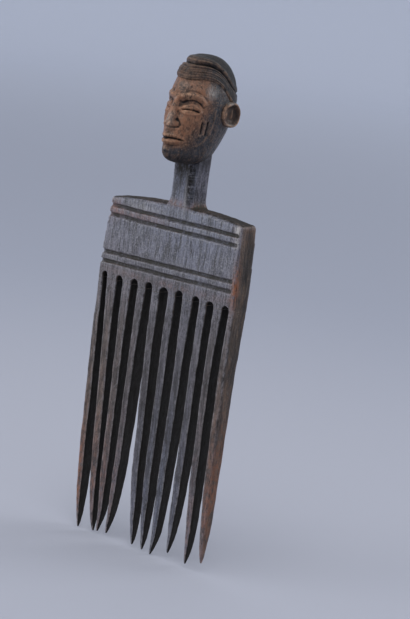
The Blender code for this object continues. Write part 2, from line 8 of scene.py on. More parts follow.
import math
from contextlib import contextmanager

import bpy
import numpy as np
from mathutils import Matrix, Vector


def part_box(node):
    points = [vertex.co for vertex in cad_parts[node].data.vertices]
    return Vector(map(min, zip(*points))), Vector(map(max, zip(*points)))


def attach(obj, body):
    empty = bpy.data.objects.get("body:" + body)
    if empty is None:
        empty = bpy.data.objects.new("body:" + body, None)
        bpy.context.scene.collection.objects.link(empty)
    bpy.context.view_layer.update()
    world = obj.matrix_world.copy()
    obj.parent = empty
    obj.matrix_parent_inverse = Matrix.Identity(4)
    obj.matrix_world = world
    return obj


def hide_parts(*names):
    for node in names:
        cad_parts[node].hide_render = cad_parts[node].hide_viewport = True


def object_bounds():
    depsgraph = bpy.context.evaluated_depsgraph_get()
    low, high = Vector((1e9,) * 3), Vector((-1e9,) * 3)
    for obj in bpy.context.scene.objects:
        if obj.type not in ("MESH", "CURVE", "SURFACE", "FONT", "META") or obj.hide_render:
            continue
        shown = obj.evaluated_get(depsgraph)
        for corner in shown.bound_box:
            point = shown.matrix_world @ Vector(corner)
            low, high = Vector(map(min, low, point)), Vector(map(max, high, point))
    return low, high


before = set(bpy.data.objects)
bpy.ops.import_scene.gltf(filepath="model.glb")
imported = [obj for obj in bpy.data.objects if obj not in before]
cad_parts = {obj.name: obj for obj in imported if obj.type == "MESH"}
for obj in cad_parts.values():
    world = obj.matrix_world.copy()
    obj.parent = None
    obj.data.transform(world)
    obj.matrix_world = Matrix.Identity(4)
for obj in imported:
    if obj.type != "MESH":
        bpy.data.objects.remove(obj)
solid_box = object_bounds()

# Camera
# The comb leans back in the photograph. Here it stands upright in its own frame, so the lean is in the
# camera: these are the camera's own axes, and where it sees the plate's top corner.
LENS_MM = 106
NEAREST_SEEN = 0.01
CAMERA_RIGHT = Vector((0.775, 0.618, 0.131))
CAMERA_BACK = Vector((0.5934, -0.7839, 0.1826)).normalized()
CORNER_IN_VIEW = Vector((-0.03133, 0.03885, -0.6178))
PLATE_TOP_WIDTH = 0.0560
PLATE_TOP = 0.01425

plate_low, plate_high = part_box("plate")
camera_up = CAMERA_BACK.cross(CAMERA_RIGHT).normalized()
camera_right = camera_up.cross(CAMERA_BACK).normalized()
camera_axes = Matrix((camera_right, camera_up, CAMERA_BACK)).transposed()
plate_corner = Vector((-PLATE_TOP_WIDTH / 2, plate_low.y, PLATE_TOP))
camera = bpy.data.objects.new("camera", bpy.data.cameras.new("camera"))
bpy.context.scene.collection.objects.link(camera)
camera.matrix_world = Matrix.Translation(plate_corner - camera_axes @ CORNER_IN_VIEW) @ camera_axes.to_4x4()
camera.data.lens = LENS_MM
camera.data.clip_start = NEAREST_SEEN
bpy.context.scene.camera = camera

# Plate blank
# The slab above the teeth, sawn from the billet with the teeth and the neck and adzed flat. Its top is
# crowned towards the neck, and its front right edge is taken off with a knife.
TOP_CORNER_RADIUS = 0.0013
RIGHT_EDGE_CHAMFER = 0.0009
NECK_SEAT_HALF = 0.0075
JOIN_LAP = 0.0010
CUT_REACH = 0.0040
EDGE_TOLERANCE = 0.00002
CHAMFER_SEGMENTS = 2
CORNER_SEGMENTS = 4
CUTS_ACROSS = 30
CUTS_UP = 9


def start_fresh():
    """Leaves nothing selected, so that an operator acts on the new piece alone."""
    bpy.ops.object.select_all(action="DESELECT")


def work_on(piece):
    start_fresh()
    piece.select_set(True)
    bpy.context.view_layer.objects.active = piece


def named(name):
    """Names the piece that the last operator made."""
    piece = bpy.context.object
    piece.name = piece.data.name = name
    return piece


def apply_modifier(piece, kind, **settings):
    """Adds a modifier with these settings and applies it."""
    modifier = piece.modifiers.new(kind.lower(), kind)
    for key, value in settings.items():
        setattr(modifier, key, value)
    work_on(piece)
    bpy.ops.object.modifier_apply(modifier=modifier.name)


@contextmanager
def editing(piece, select=None):
    """Opens a piece's mesh for mesh operators, with all or none of it selected, or else what was."""
    work_on(piece)
    bpy.ops.object.mode_set(mode="EDIT")
    if select:
        bpy.ops.mesh.select_all(action=select)
    yield
    bpy.ops.object.mode_set(mode="OBJECT")


def bevel_edges(piece, chosen, offset, segments):
    """Bevels the edges whose two ends both answer to chosen, which is given a point."""
    with editing(piece, "DESELECT"):
        bpy.ops.mesh.select_mode(type="EDGE")
    for edge in piece.data.edges:
        edge.select = all(chosen(piece.data.vertices[i].co) for i in edge.vertices)
    with editing(piece):
        bpy.ops.mesh.bevel(offset=offset, segments=segments, affect="EDGES")


def score(piece, places, normal):
    """Scores a piece right round with cuts across it, so that it can be bent there."""
    for place in places:
        with editing(piece, "SELECT"):
            bpy.ops.mesh.bisect(plane_co=Vector(normal) * place, plane_no=normal)


blank_foot, blank_top = plate_low.z, plate_high.z
corner_x = PLATE_TOP_WIDTH / 2 - TOP_CORNER_RADIUS
start_fresh()
bpy.ops.mesh.primitive_cube_add(size=1, location=(0, plate_low.y / 2, (blank_foot + blank_top) / 2))
plate_blank = named("plate_blank")
plate_blank.scale = (PLATE_TOP_WIDTH, -plate_low.y, blank_top - blank_foot)
bpy.ops.object.transform_apply(location=True, rotation=True, scale=True)
bevel_edges(
    plate_blank,
    lambda point: point.x > 0 and point.y < plate_low.y / 2,
    RIGHT_EDGE_CHAMFER,
    CHAMFER_SEGMENTS,
)
corner_start = PLATE_TOP_WIDTH / 2 - 2 * RIGHT_EDGE_CHAMFER
bevel_edges(
    plate_blank,
    lambda point: abs(point.x) > corner_start and point.z > blank_top - EDGE_TOLERANCE,
    TOP_CORNER_RADIUS,
    CORNER_SEGMENTS,
)
score(plate_blank, np.linspace(-corner_x, corner_x, CUTS_ACROSS), (1, 0, 0))
score(plate_blank, np.linspace(blank_foot, PLATE_TOP - TOP_CORNER_RADIUS, CUTS_UP)[1:], (0, 0, 1))
for vert in plate_blank.data.vertices:
    up = (vert.co.z - blank_foot) / (blank_top - blank_foot)
    swelling = math.cos(min(1, (vert.co.z - blank_foot) / (PLATE_TOP - blank_foot)) * math.pi / 2)
    edge = plate_high.x if vert.co.x > 0 else -plate_low.x
    climb = min(1, max(0, (corner_x - abs(vert.co.x)) / (corner_x - NECK_SEAT_HALF)))
    vert.co.x *= 1 + (edge / (PLATE_TOP_WIDTH / 2) - 1) * swelling
    vert.co.z -= (blank_top - PLATE_TOP) * (1 - math.sin(climb * math.pi / 2)) * up

# Teeth
# Ten teeth left standing when the nine slots were sawn and pared out with a knife. Each tapers from front
# to back and down to a point, and each leans its own way.
TEETH = [f"tooth_{number:02d}" for number in range(1, 11)]
TOOTH_EDGE_WEAR = 0.00035
TOOTH_EDGE_ANGLE = math.radians(50)
SLOT_TOP_POINTS = 11


def cad_sections(name):
    """The solid's levels from the top down, each by its corners from front left round to back left."""
    points = [vert.co.copy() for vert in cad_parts[name].data.vertices]
    sections = []
    for level in sorted({round(point.z, 5) for point in points}, reverse=True):
        ring = [point for point in points if abs(point.z - level) < EDGE_TOLERANCE]
        front, back = min(point.y for point in ring), max(point.y for point in ring)
        front_row = [point.x for point in ring if point.y < (front + back) / 2]
        back_row = [point.x for point in ring if point.y > (front + back) / 2]
        corners = [(end(front_row), front) for end in (min, max)]
        corners += [(end(back_row), back) for end in (max, min)]
        sections.append([Vector((x, y, level)) for x, y in corners])
    return sections


def draw_out(name, sections):
    """A filled circle primitive put to the first section and extruded through the others."""
    start_fresh()
    bpy.ops.mesh.primitive_circle_add(vertices=len(sections[0]), fill_type="NGON")
    piece = named(name)
    for vert, point in zip(piece.data.vertices, sections[0]):
        vert.co = point
    pull = Vector((0, 0, -JOIN_LAP))
    for before, section in zip(sections, sections[1:]):
        with editing(piece):
            bpy.ops.mesh.extrude_region_move(TRANSFORM_OT_translate={"value": pull})
        for vert in [vert for vert in piece.data.vertices if vert.select]:
            nearest = min(range(len(before)), key=lambda i: (before[i] + pull - vert.co).length)
            vert.co = section[nearest]
    with editing(piece, "SELECT"):
        bpy.ops.mesh.normals_make_consistent(inside=False)
    return piece


def cut_away(piece, tool, solver="EXACT"):
    """Cuts a tool's shape out of a piece and puts the tool away."""
    apply_modifier(piece, "BOOLEAN", object=tool, operation="DIFFERENCE", solver=solver)
    bpy.data.objects.remove(tool)


tooth_sections = {tooth: cad_sections(tooth) for tooth in TEETH}
plate_points = [vert.co.copy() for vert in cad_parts["plate"].data.vertices]
tooth_blanks = []
for tooth, sections in tooth_sections.items():
    root = [point + Vector((0, 0, JOIN_LAP)) for point in sections[0]]
    blank = draw_out(tooth + "_blank", [root] + sections)
    angle_rule = {"limit_method": "ANGLE", "angle_limit": TOOTH_EDGE_ANGLE}
    apply_modifier(blank, "BEVEL", width=TOOTH_EDGE_WEAR, segments=2, **angle_rule)
    tooth_blanks.append(blank)

blade_foot_ceiling = blank_foot
for left_tooth, right_tooth in zip(TEETH, TEETH[1:]):
    left_root, right_root = tooth_sections[left_tooth][0], tooth_sections[right_tooth][0]
    front_left, front_right = left_root[1], right_root[0]
    back_left, back_right = left_root[2], right_root[3]
    ceiling = max(
        point.z
        for point in plate_points
        if front_left.x < point.x < front_right.x and point.z < blank_foot + CUT_REACH
    )
    blade_foot_ceiling = max(blade_foot_ceiling, ceiling + JOIN_LAP)
    arches = []
    for left, right, over in ((front_left, front_right, -CUT_REACH), (back_left, back_right, CUT_REACH)):
        half, middle, y = (right.x - left.x) / 2, (left.x + right.x) / 2, left.y + over
        foot = blank_foot - CUT_REACH
        arch = [Vector((middle + half, y, foot))]
        for turn in np.linspace(0, math.pi, SLOT_TOP_POINTS):
            arch.append(Vector((middle + half * math.cos(turn), y, ceiling + half * (math.sin(turn) - 1))))
        arch.append(Vector((middle - half, y, foot)))
        arches.append(arch)
    cut_away(plate_blank, draw_out("slot_tool", arches))

# The two pairs of grooves across the plate's face, run out to the left edge and stopped short of the
# right one. Each pair is given by how far it lies under the plate's top, and its tilt in degrees.
GROOVE_WIDTH = 0.0014
GROOVE_DEPTH = 0.0008
GROOVE_PITCH = 0.0032
GROOVE_PAIRS = ((0.0050, 0.5), (0.0207, -0.6))
GROOVE_END_MARGIN = 0.0012
GROOVE_TOOL_POINTS = 24

groove_radius = (GROOVE_WIDTH**2 / 4 + GROOVE_DEPTH**2) / (2 * GROOVE_DEPTH)
groove_end = PLATE_TOP_WIDTH / 2 - GROOVE_END_MARGIN
groove_start = plate_low.x - CUT_REACH
for drop, tilt in GROOVE_PAIRS:
    for side in (-1, 1):
        start_fresh()
        bpy.ops.mesh.primitive_cylinder_add(
            vertices=GROOVE_TOOL_POINTS,
            radius=groove_radius,
            depth=groove_end - groove_start,
            location=(
                (groove_start + groove_end) / 2,
                plate_low.y + GROOVE_DEPTH - groove_radius,
                PLATE_TOP - drop + side * GROOVE_PITCH / 2,
            ),
            rotation=(0, math.radians(90 + tilt), 0),
        )
        cut_away(plate_blank, named("groove_tool"))

# Neck
# The squared column that carries the head, pared flat in front and on its slanting sides. Its front facet
# lies in the plate's own face and runs out into it in a small flare.
NECK_FACE_HALF = 0.00305
NECK_BACK_HALF = 0.0061
NECK_CHAMFER = 0.0017
NECK_SHIFT = 0.0005
NECK_FLARE = 0.0011
NECK_FLARE_HEIGHT = 0.0032
NECK_INTO_HEAD = 0.00105
NECK_LEVELS = 6
NECK_FLARE_LEVELS = 8

neck_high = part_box("neck")[1]
neck_flare_top = plate_high.z + NECK_FLARE_HEIGHT


def neck_section(height):
    """The neck's eight corners at a height, from the left of its back round by its face."""
    risen = min(1, (height - plate_high.z) / NECK_FLARE_HEIGHT)
    flare = NECK_FLARE * (1 - risen) ** 2
    front, back = plate_low.y, 0
    half = [
        (NECK_FACE_HALF + flare, front),
        (NECK_FACE_HALF + NECK_CHAMFER + flare, front + NECK_CHAMFER),
        (NECK_BACK_HALF + flare, back - NECK_CHAMFER / 2),
        (NECK_BACK_HALF - NECK_CHAMFER / 2 + flare, back),
    ]
    ring = [(-x, y) for x, y in half[::-1]] + half
    return [Vector((NECK_SHIFT + x, y, height)) for x, y in ring]


upper_levels = np.linspace(neck_high.z + NECK_INTO_HEAD, neck_flare_top, NECK_LEVELS)
flare_levels = np.linspace(neck_flare_top, plate_high.z - JOIN_LAP, NECK_FLARE_LEVELS)[1:]
neck_blank = draw_out("neck_blank", [neck_section(float(level)) for level in (*upper_levels, *flare_levels)])

# Blade
# The plate, the teeth and the neck are one surface in the hand: joined here, cut over with small unsteady
# strokes, rubbed down where hands and hair have worn it, and parted again along the seams of the solids.
SKIN_GRAIN = 0.0003
SKIN_ROUNDS = 3
# The strokes left in it: pattern, size, depth, how far drawn out, and which way they push
SKIN_STROKES = (
    ("CLOUDS", 0.0100, 0.00036, (1, 1, 1), "RGB_TO_XYZ"),
    ("CLOUDS", 0.0030, 0.00013, (1, 1, 2.5), "NORMAL"),
    ("VORONOI", 0.0020, 0.00013, (1, 1, 4), "NORMAL"),
)


def join_all(name, blanks):
    start_fresh()
    for blank in blanks:
        blank.select_set(True)
    bpy.context.view_layer.objects.active = blanks[0]
    bpy.ops.object.join()
    return named(name)


def rub_down(piece, rounds):
    apply_modifier(piece, "SMOOTH", factor=0.5, iterations=rounds)


def reskin(piece, grain, rounds):
    """Gives a piece one closed skin of squares of this size, and rubs it down."""
    apply_modifier(piece, "REMESH", mode="VOXEL", voxel_size=grain, adaptivity=0)
    rub_down(piece, rounds)


def roughen(piece, kind, size, depth, stretch=(1, 1, 1), direction="NORMAL"):
    """Works a pattern of hollows of this size and depth into a surface, drawn out by stretch."""
    texture = bpy.data.textures.new("pattern", kind)
    texture.noise_scale = size
    if direction == "RGB_TO_XYZ":
        texture.cloud_type = "COLOR"
    frame_of_pattern = bpy.data.objects.new("pattern_frame", None)
    bpy.context.scene.collection.objects.link(frame_of_pattern)
    frame_of_pattern.scale = stretch
    bpy.context.view_layer.update()
    laid_out = {"texture": texture, "texture_coords": "OBJECT", "texture_coords_object": frame_of_pattern}
    apply_modifier(piece, "DISPLACE", direction=direction, mid_level=0.5, strength=depth, **laid_out)
    bpy.data.objects.remove(frame_of_pattern)
    bpy.data.textures.remove(texture)


def vertex_array(piece, name="co"):
    """The piece's points, or their normals."""
    values = np.empty(len(piece.data.vertices) * 3, dtype=np.float32)
    piece.data.vertices.foreach_get(name, values)
    return values.reshape(-1, 3)


def place_points(piece, points):
    piece.data.vertices.foreach_set("co", np.ascontiguousarray(points, dtype=np.float32).ravel())
    piece.data.update()


def proudness(piece, rounds, reach):
    """How far each point stands proud of its surroundings, as a share of reach: edges +, hollows -."""
    ends = np.empty(len(piece.data.edges) * 2, dtype=np.int32)
    piece.data.edges.foreach_get("vertices", ends)
    first, second = ends.reshape(-1, 2).T
    count = len(piece.data.vertices)
    shares = np.bincount(first, minlength=count) + np.bincount(second, minlength=count)
    points = vertex_array(piece)
    level = points.copy()
    for _ in range(rounds):
        for axis in range(3):
            column = level[:, axis]
            total = np.bincount(first, column[second], count) + np.bincount(second, column[first], count)
            level[:, axis] = total / np.maximum(shares, 1)
    normals = vertex_array(piece, "normal")
    return ((points - level) * normals).sum(axis=1) / reach


def mark(piece, **marks):
    """Writes one number per point under each name, for the finish to read."""
    for name, values in marks.items():
        attribute = piece.data.attributes.new(name, "FLOAT", "POINT")
        attribute.data.foreach_set("value", np.clip(values, 0, 1).astype(np.float32))


def soft_step(share):
    share = np.clip(share, 0, 1)
    return share * share * (3 - 2 * share)


def rise(values, start, reach):
    """Goes softly from 0 at start to 1 a reach further on, or further back where the reach is negative."""
    return soft_step((values - start) / reach)


def spread_of(points, places):
    """The sum of soft patches: middle and reach three ways, both in millimetres, and strength."""
    total = np.zeros(len(points))
    for middle, reach, strength in places:
        off = (points * 1000 - np.array(middle)) / np.array(reach)
        total += strength * np.exp(-(off**2).sum(axis=1))
    return total


blade = join_all("blade", [plate_blank, neck_blank] + tooth_blanks)
reskin(blade, SKIN_GRAIN, SKIN_ROUNDS)
for strokes in SKIN_STROKES:
    roughen(blade, *strokes)

# The ridges beside the neck's front facet are nicked all the way up by the point of the knife
NICK_PITCH = 0.0011
NICK_WANDER = 0.0043
NICK_DRIFT = 0.25
NICK_DEPTH = 0.00026
# Start and reach, for rise(): how squarely a ridge faces both ways, and where the neck leaves the plate
RIDGE_FACING = (0.28, 0.14)
NECK_START = (plate_high.z, 0.002)

blade_points, blade_normals = vertex_array(blade), vertex_array(blade, "normal")
blade_z = blade_points[:, 2]
on_ridge = rise(np.abs(blade_normals[:, 0]) * -blade_normals[:, 1], *RIDGE_FACING)
on_ridge *= rise(blade_z, *NECK_START)
turn = blade_z / NICK_PITCH + NICK_DRIFT * np.sin(blade_z / NICK_WANDER * math.tau)
nicks = np.maximum(0, np.sin(turn * math.tau)) ** 2 * NICK_DEPTH
place_points(blade, blade_points - blade_normals * (nicks * on_ridge)[:, None])

# Where the blade is rubbed to reddish wood, and where it is chipped pale, for spread_of()
WARM_PATCHES = (
    ((28.5, -7.4, -5.5), (1.6, 1.3, 7), 1.2),
    ((27, -4.5, 12), (2.2, 6, 4), 0.3),
    ((-26.5, -7.5, 11), (3, 3, 4), 0.35),
    ((-30.5, -4, -92), (1.6, 10, 24), 1.0),
    ((-26, -4, -85), (8, 10, 26), 0.4),
    ((-16, -4, -90), (8, 10, 30), 0.22),
    ((29, -3, -78), (3, 10, 27), 0.85),
    ((23, -4, -90), (6, 10, 30), 0.3),
    ((0, -5, 16.5), (30, 6, 1.2), 0.55),
    ((0, -7, -11), (30, 4, 1.6), 0.22),
    ((-17, -7.8, 9.3), (12, 1.2, 1.4), 0.4),
)
PALE_PATCHES = (
    ((26.4, -7.8, 11.8), (1.1, 2, 1.8), 1.3),
    ((26.6, -7.8, 7.8), (0.8, 2, 1.2), 1.0),
    ((-14, -7.8, 12.5), (8, 1.2, 1.2), 0.35),
    ((3.5, -7.6, 20), (0.8, 1.2, 6), 0.6),
)
# Where it is darker: the neck, the plate's edges and the teeth half way down. Along the ridge beside the
# neck's face, and round the neck's top under the head, the darkening is painted shade.
DARK_PATCHES = (
    ((0, -7.8, 28.5), (4, 1.6, 8.5), 0.85),
    # Painted shade along the ridge beside the neck's face
    ((4.2, -7, 23), (1.3, 1.6, 9), 0.9),
    # Painted shade round the neck's top, under the head
    ((0, 0, 31), (10, 20, 3), 0.8),
    ((4, -2, -60), (26, 20, 36), 0.62),
    ((0.5, -4, -12), (30, 6, 3), 0.25),
    ((29, -6.2, -48), (1.2, 0.9, 22), 0.8),
    ((24.3, -7.8, 12.2), (0.3, 1.2, 2.2), 0.9),
    ((28.5, -3, 0), (2, 3.5, 16), 0.5),
    ((29, -3, -30), (2, 6, 16), 0.25),
)
# The plate's top face is painted darker: painted shade
PLATE_TOP_DARKNESS = 0.95
# Where the teeth are more brown than slate
BROWN_TEETH = (
    ((-30, 0, -60), (21, 1000, 50), 0.8),
    ((30, 0, -60), (11, 1000, 50), 0.8),
    ((0, 0, -30), (40, 1000, 30), 0.35),
)
# Edges and hollows: rounds of evening out to find them, and the height that counts as full
BLADE_EDGES = (6, 0.00016)
BLADE_HOLLOWS = (30, 0.00028)
MOST_HOLLOW = 0.7
# Start and reach, for rise(): a slot's walls and the dirt and painted shade on them, and the faces turned
# front, back or up
WALL_FACING = (0.35, 0.4)
WALL_DIRT_AND_SHADE = (0.0002, 0.0008)
FLAT_FACING = (0.3, 0.5)
TOP_FACING = (0.5, 0.4)
TEETH_START = (blank_foot, -0.010)
# How much of the polish with its painted sheen and of the painted glints the neck, the teeth and the back
# have
NECK_SHARE = 0.7
TEETH_GLINT_SHARE = 0.15
BACK_POLISH_AND_SHEEN_SHARE = 0.5

blade_points = vertex_array(blade)
blade_x, blade_y, blade_z = blade_points.T
facing_x, facing_y, facing_z = vertex_array(blade, "normal").T
first_middle, last_middle = (
    np.interp(
        blade_z,
        [section[0].z for section in tooth_sections[tooth][::-1]],
        [(section[0].x + section[1].x) / 2 for section in tooth_sections[tooth][::-1]],
    )
    for tooth in (TEETH[0], TEETH[-1])
)
in_comb = (blade_x > first_middle) & (blade_x < last_middle) & (blade_z < blade_foot_ceiling)
# The slot walls between the teeth are darkened with dirt and painted shade
wall_dirt_and_shade = in_comb * rise(np.hypot(facing_x, np.minimum(facing_z, 0)), *WALL_FACING)
wall_dirt_and_shade *= rise(blade_y - plate_low.y, *WALL_DIRT_AND_SHADE) * rise(-blade_y, *WALL_DIRT_AND_SHADE)
top_face = rise(facing_z, *TOP_FACING) * (blade_z > PLATE_TOP - TOP_CORNER_RADIUS)
faces_forward, faces_back = rise(-facing_y, *FLAT_FACING), rise(facing_y, *FLAT_FACING)
on_teeth, on_neck = rise(blade_z, *TEETH_START), rise(blade_z, *NECK_START)
# Polish with a painted bluish sheen on the faces turned front, and half as much on those turned back
polish_and_sheen_share = (faces_forward + faces_back * BACK_POLISH_AND_SHEEN_SHARE) * (1 - spread_of(blade_points, BROWN_TEETH))
mark(
    blade,
    worn=proudness(blade, *BLADE_EDGES),
    # Recesses and slot walls, darkened in the finish with dirt and painted shade
    hollow=np.maximum(np.minimum(-proudness(blade, *BLADE_HOLLOWS), MOST_HOLLOW), wall_dirt_and_shade),
    dark=spread_of(blade_points, DARK_PATCHES) + top_face * PLATE_TOP_DARKNESS,
    # Painted glints: pale specks on the faces turned front and on the neck
    tooled=np.maximum(faces_forward * (1 - (1 - TEETH_GLINT_SHARE) * on_teeth), on_neck * NECK_SHARE),
    warm=spread_of(blade_points, WARM_PATCHES),
    pale=spread_of(blade_points, PALE_PATCHES),
    polish=polish_and_sheen_share + on_neck * NECK_SHARE,
)

# It is parted again with level cuts along the seams, by a saw block larger than the comb
SAW_BLOCK = 0.5


def part_off(piece, name, height, keep_above):
    """A copy of the piece above or below a level cut, with the cut closed."""
    copy = piece.copy()
    copy.data = piece.data.copy()
    bpy.context.scene.collection.objects.link(copy)
    copy.name = copy.data.name = name
    start_fresh()
    block_middle = height - SAW_BLOCK / 2 if keep_above else height + SAW_BLOCK / 2
    bpy.ops.mesh.primitive_cube_add(size=SAW_BLOCK, location=(0, 0, block_middle))
    cut_away(copy, named("saw_block"), solver="MANIFOLD")
    return copy


comb_teeth = part_off(blade, "comb_teeth", blank_foot, keep_above=False)
plate_and_neck = part_off(blade, "plate_and_neck", blank_foot, keep_above=True)
neck_piece = part_off(plate_and_neck, "carved_neck", plate_high.z, keep_above=True)
plate_piece = part_off(plate_and_neck, "grooved_plate", plate_high.z, keep_above=False)
bpy.data.objects.remove(blade)
bpy.data.objects.remove(plate_and_neck)
with editing(comb_teeth):
    bpy.ops.mesh.separate(type="LOOSE")
tooth_pieces = sorted(bpy.context.selected_objects, key=lambda piece: vertex_array(piece)[:, 0].mean())


def node(tree, kind, inputs=None, **settings):
    """Adds a node, with numbers or links for its inputs."""
    made = tree.nodes.new(kind)
    for key, value in settings.items():
        setattr(made, key, value)
    for key, value in (inputs or {}).items():
        if isinstance(value, bpy.types.NodeSocket):
            tree.links.new(value, made.inputs[key])
        else:
            made.inputs[key].default_value = value
    return made


def ramp(value, low, high):
    """Stretches the range from low to high over 0 to 1, softly. A node joins the tree of its first input."""
    made = node(value.id_data, "ShaderNodeMapRange", {"Value": value, "From Min": low, "From Max": high})
    made.interpolation_type = "SMOOTHSTEP"
    return made.outputs["Result"]


def times(first, second):
    return node(first.id_data, "ShaderNodeMath", {0: first, 1: second}, operation="MULTIPLY").outputs[0]


def plus(first, second):
    """A sum that stays under 1."""
    made = node(first.id_data, "ShaderNodeMath", {0: first, 1: second}, operation="ADD", use_clamp=True)
    return made.outputs[0]


def rest(share):
    """What a share leaves of the whole."""
    return node(share.id_data, "ShaderNodeMath", {0: 1.0, 1: share}, operation="SUBTRACT").outputs[0]


def tint(share, under, over):
    """Lays one colour over another by a share: the mix node's sockets 0, 6 and 7."""
    under, over = (c if isinstance(c, bpy.types.NodeSocket) else (*c, 1) for c in (under, over))
    return node(share.id_data, "ShaderNodeMix", {0: share, 6: under, 7: over}, data_type="RGBA").outputs[2]


def noise(place, size, detail, roughness, stretch):
    """Cloudy variation with patches of this size in metres, drawn out by stretch."""
    scale = tuple(1 / (size * share) for share in stretch)
    scaled = node(place.id_data, "ShaderNodeMapping", {"Vector": place, "Scale": scale}).outputs[0]
    settings = {"Vector": scaled, "Scale": 1.0, "Detail": detail, "Roughness": roughness}
    return node(place.id_data, "ShaderNodeTexNoise", settings).outputs[0]


# The wood's patterns: size in metres, detail, roughness, and how far drawn out across, through and along it
WOOD_PATTERNS = {
    "grain": (0.0005, 5, 0.65, (1, 1, 14)),
    "streaks": (0.0010, 3, 0.60, (1, 1, 9)),
    "mottle": (0.0060, 4, 0.60, (1, 1, 1.8)),
    "flecks": (0.0013, 4, 0.70, (1, 1, 1.5)),
    "specks": (0.0006, 3, 0.75, (1, 1, 1)),
    "pores": (0.00032, 2, 0.50, (1, 1, 9)),
    "cracks": (0.0011, 4, 0.65, (1, 1, 7)),
}
SCRATCHES = (0.00035, 2, 0.50, (30, 1, 1))
SCRATCH_TURN = math.radians(52)
# The lengthwise figure: the shares of grain and streaks in it, and where it starts to be light and is full
FIGURE_SHARES = (0.65, 0.35)
LIGHT_GRAIN = (0.37, 0.60)
# Their relief: how deep in metres, and how strongly it shows
GRAIN_RELIEF = (0.00022, 0.7)
PIT_RELIEF = (0.00025, 0.5)
SCRATCH_RELIEF = (0.00008, 0.6)
STRAND_RELIEF = (0.00030, 0.8)
STRANDS = 55
STRAND_WANDER = 0.06
# How much its roughness varies in patches, and how much dirt adds to it
GLOSS_SPREAD = (-0.12, 0.14)
DIRT_DULLNESS = 0.45


def relief(height, depth, strength, under=None):
    """Raises a surface by a pattern, over the relief that is under it."""
    settings = {"Height": height, "Distance": depth, "Strength": strength}
    if under:
        settings["Normal"] = under
    return node(height.id_data, "ShaderNodeBump", settings).outputs[0]


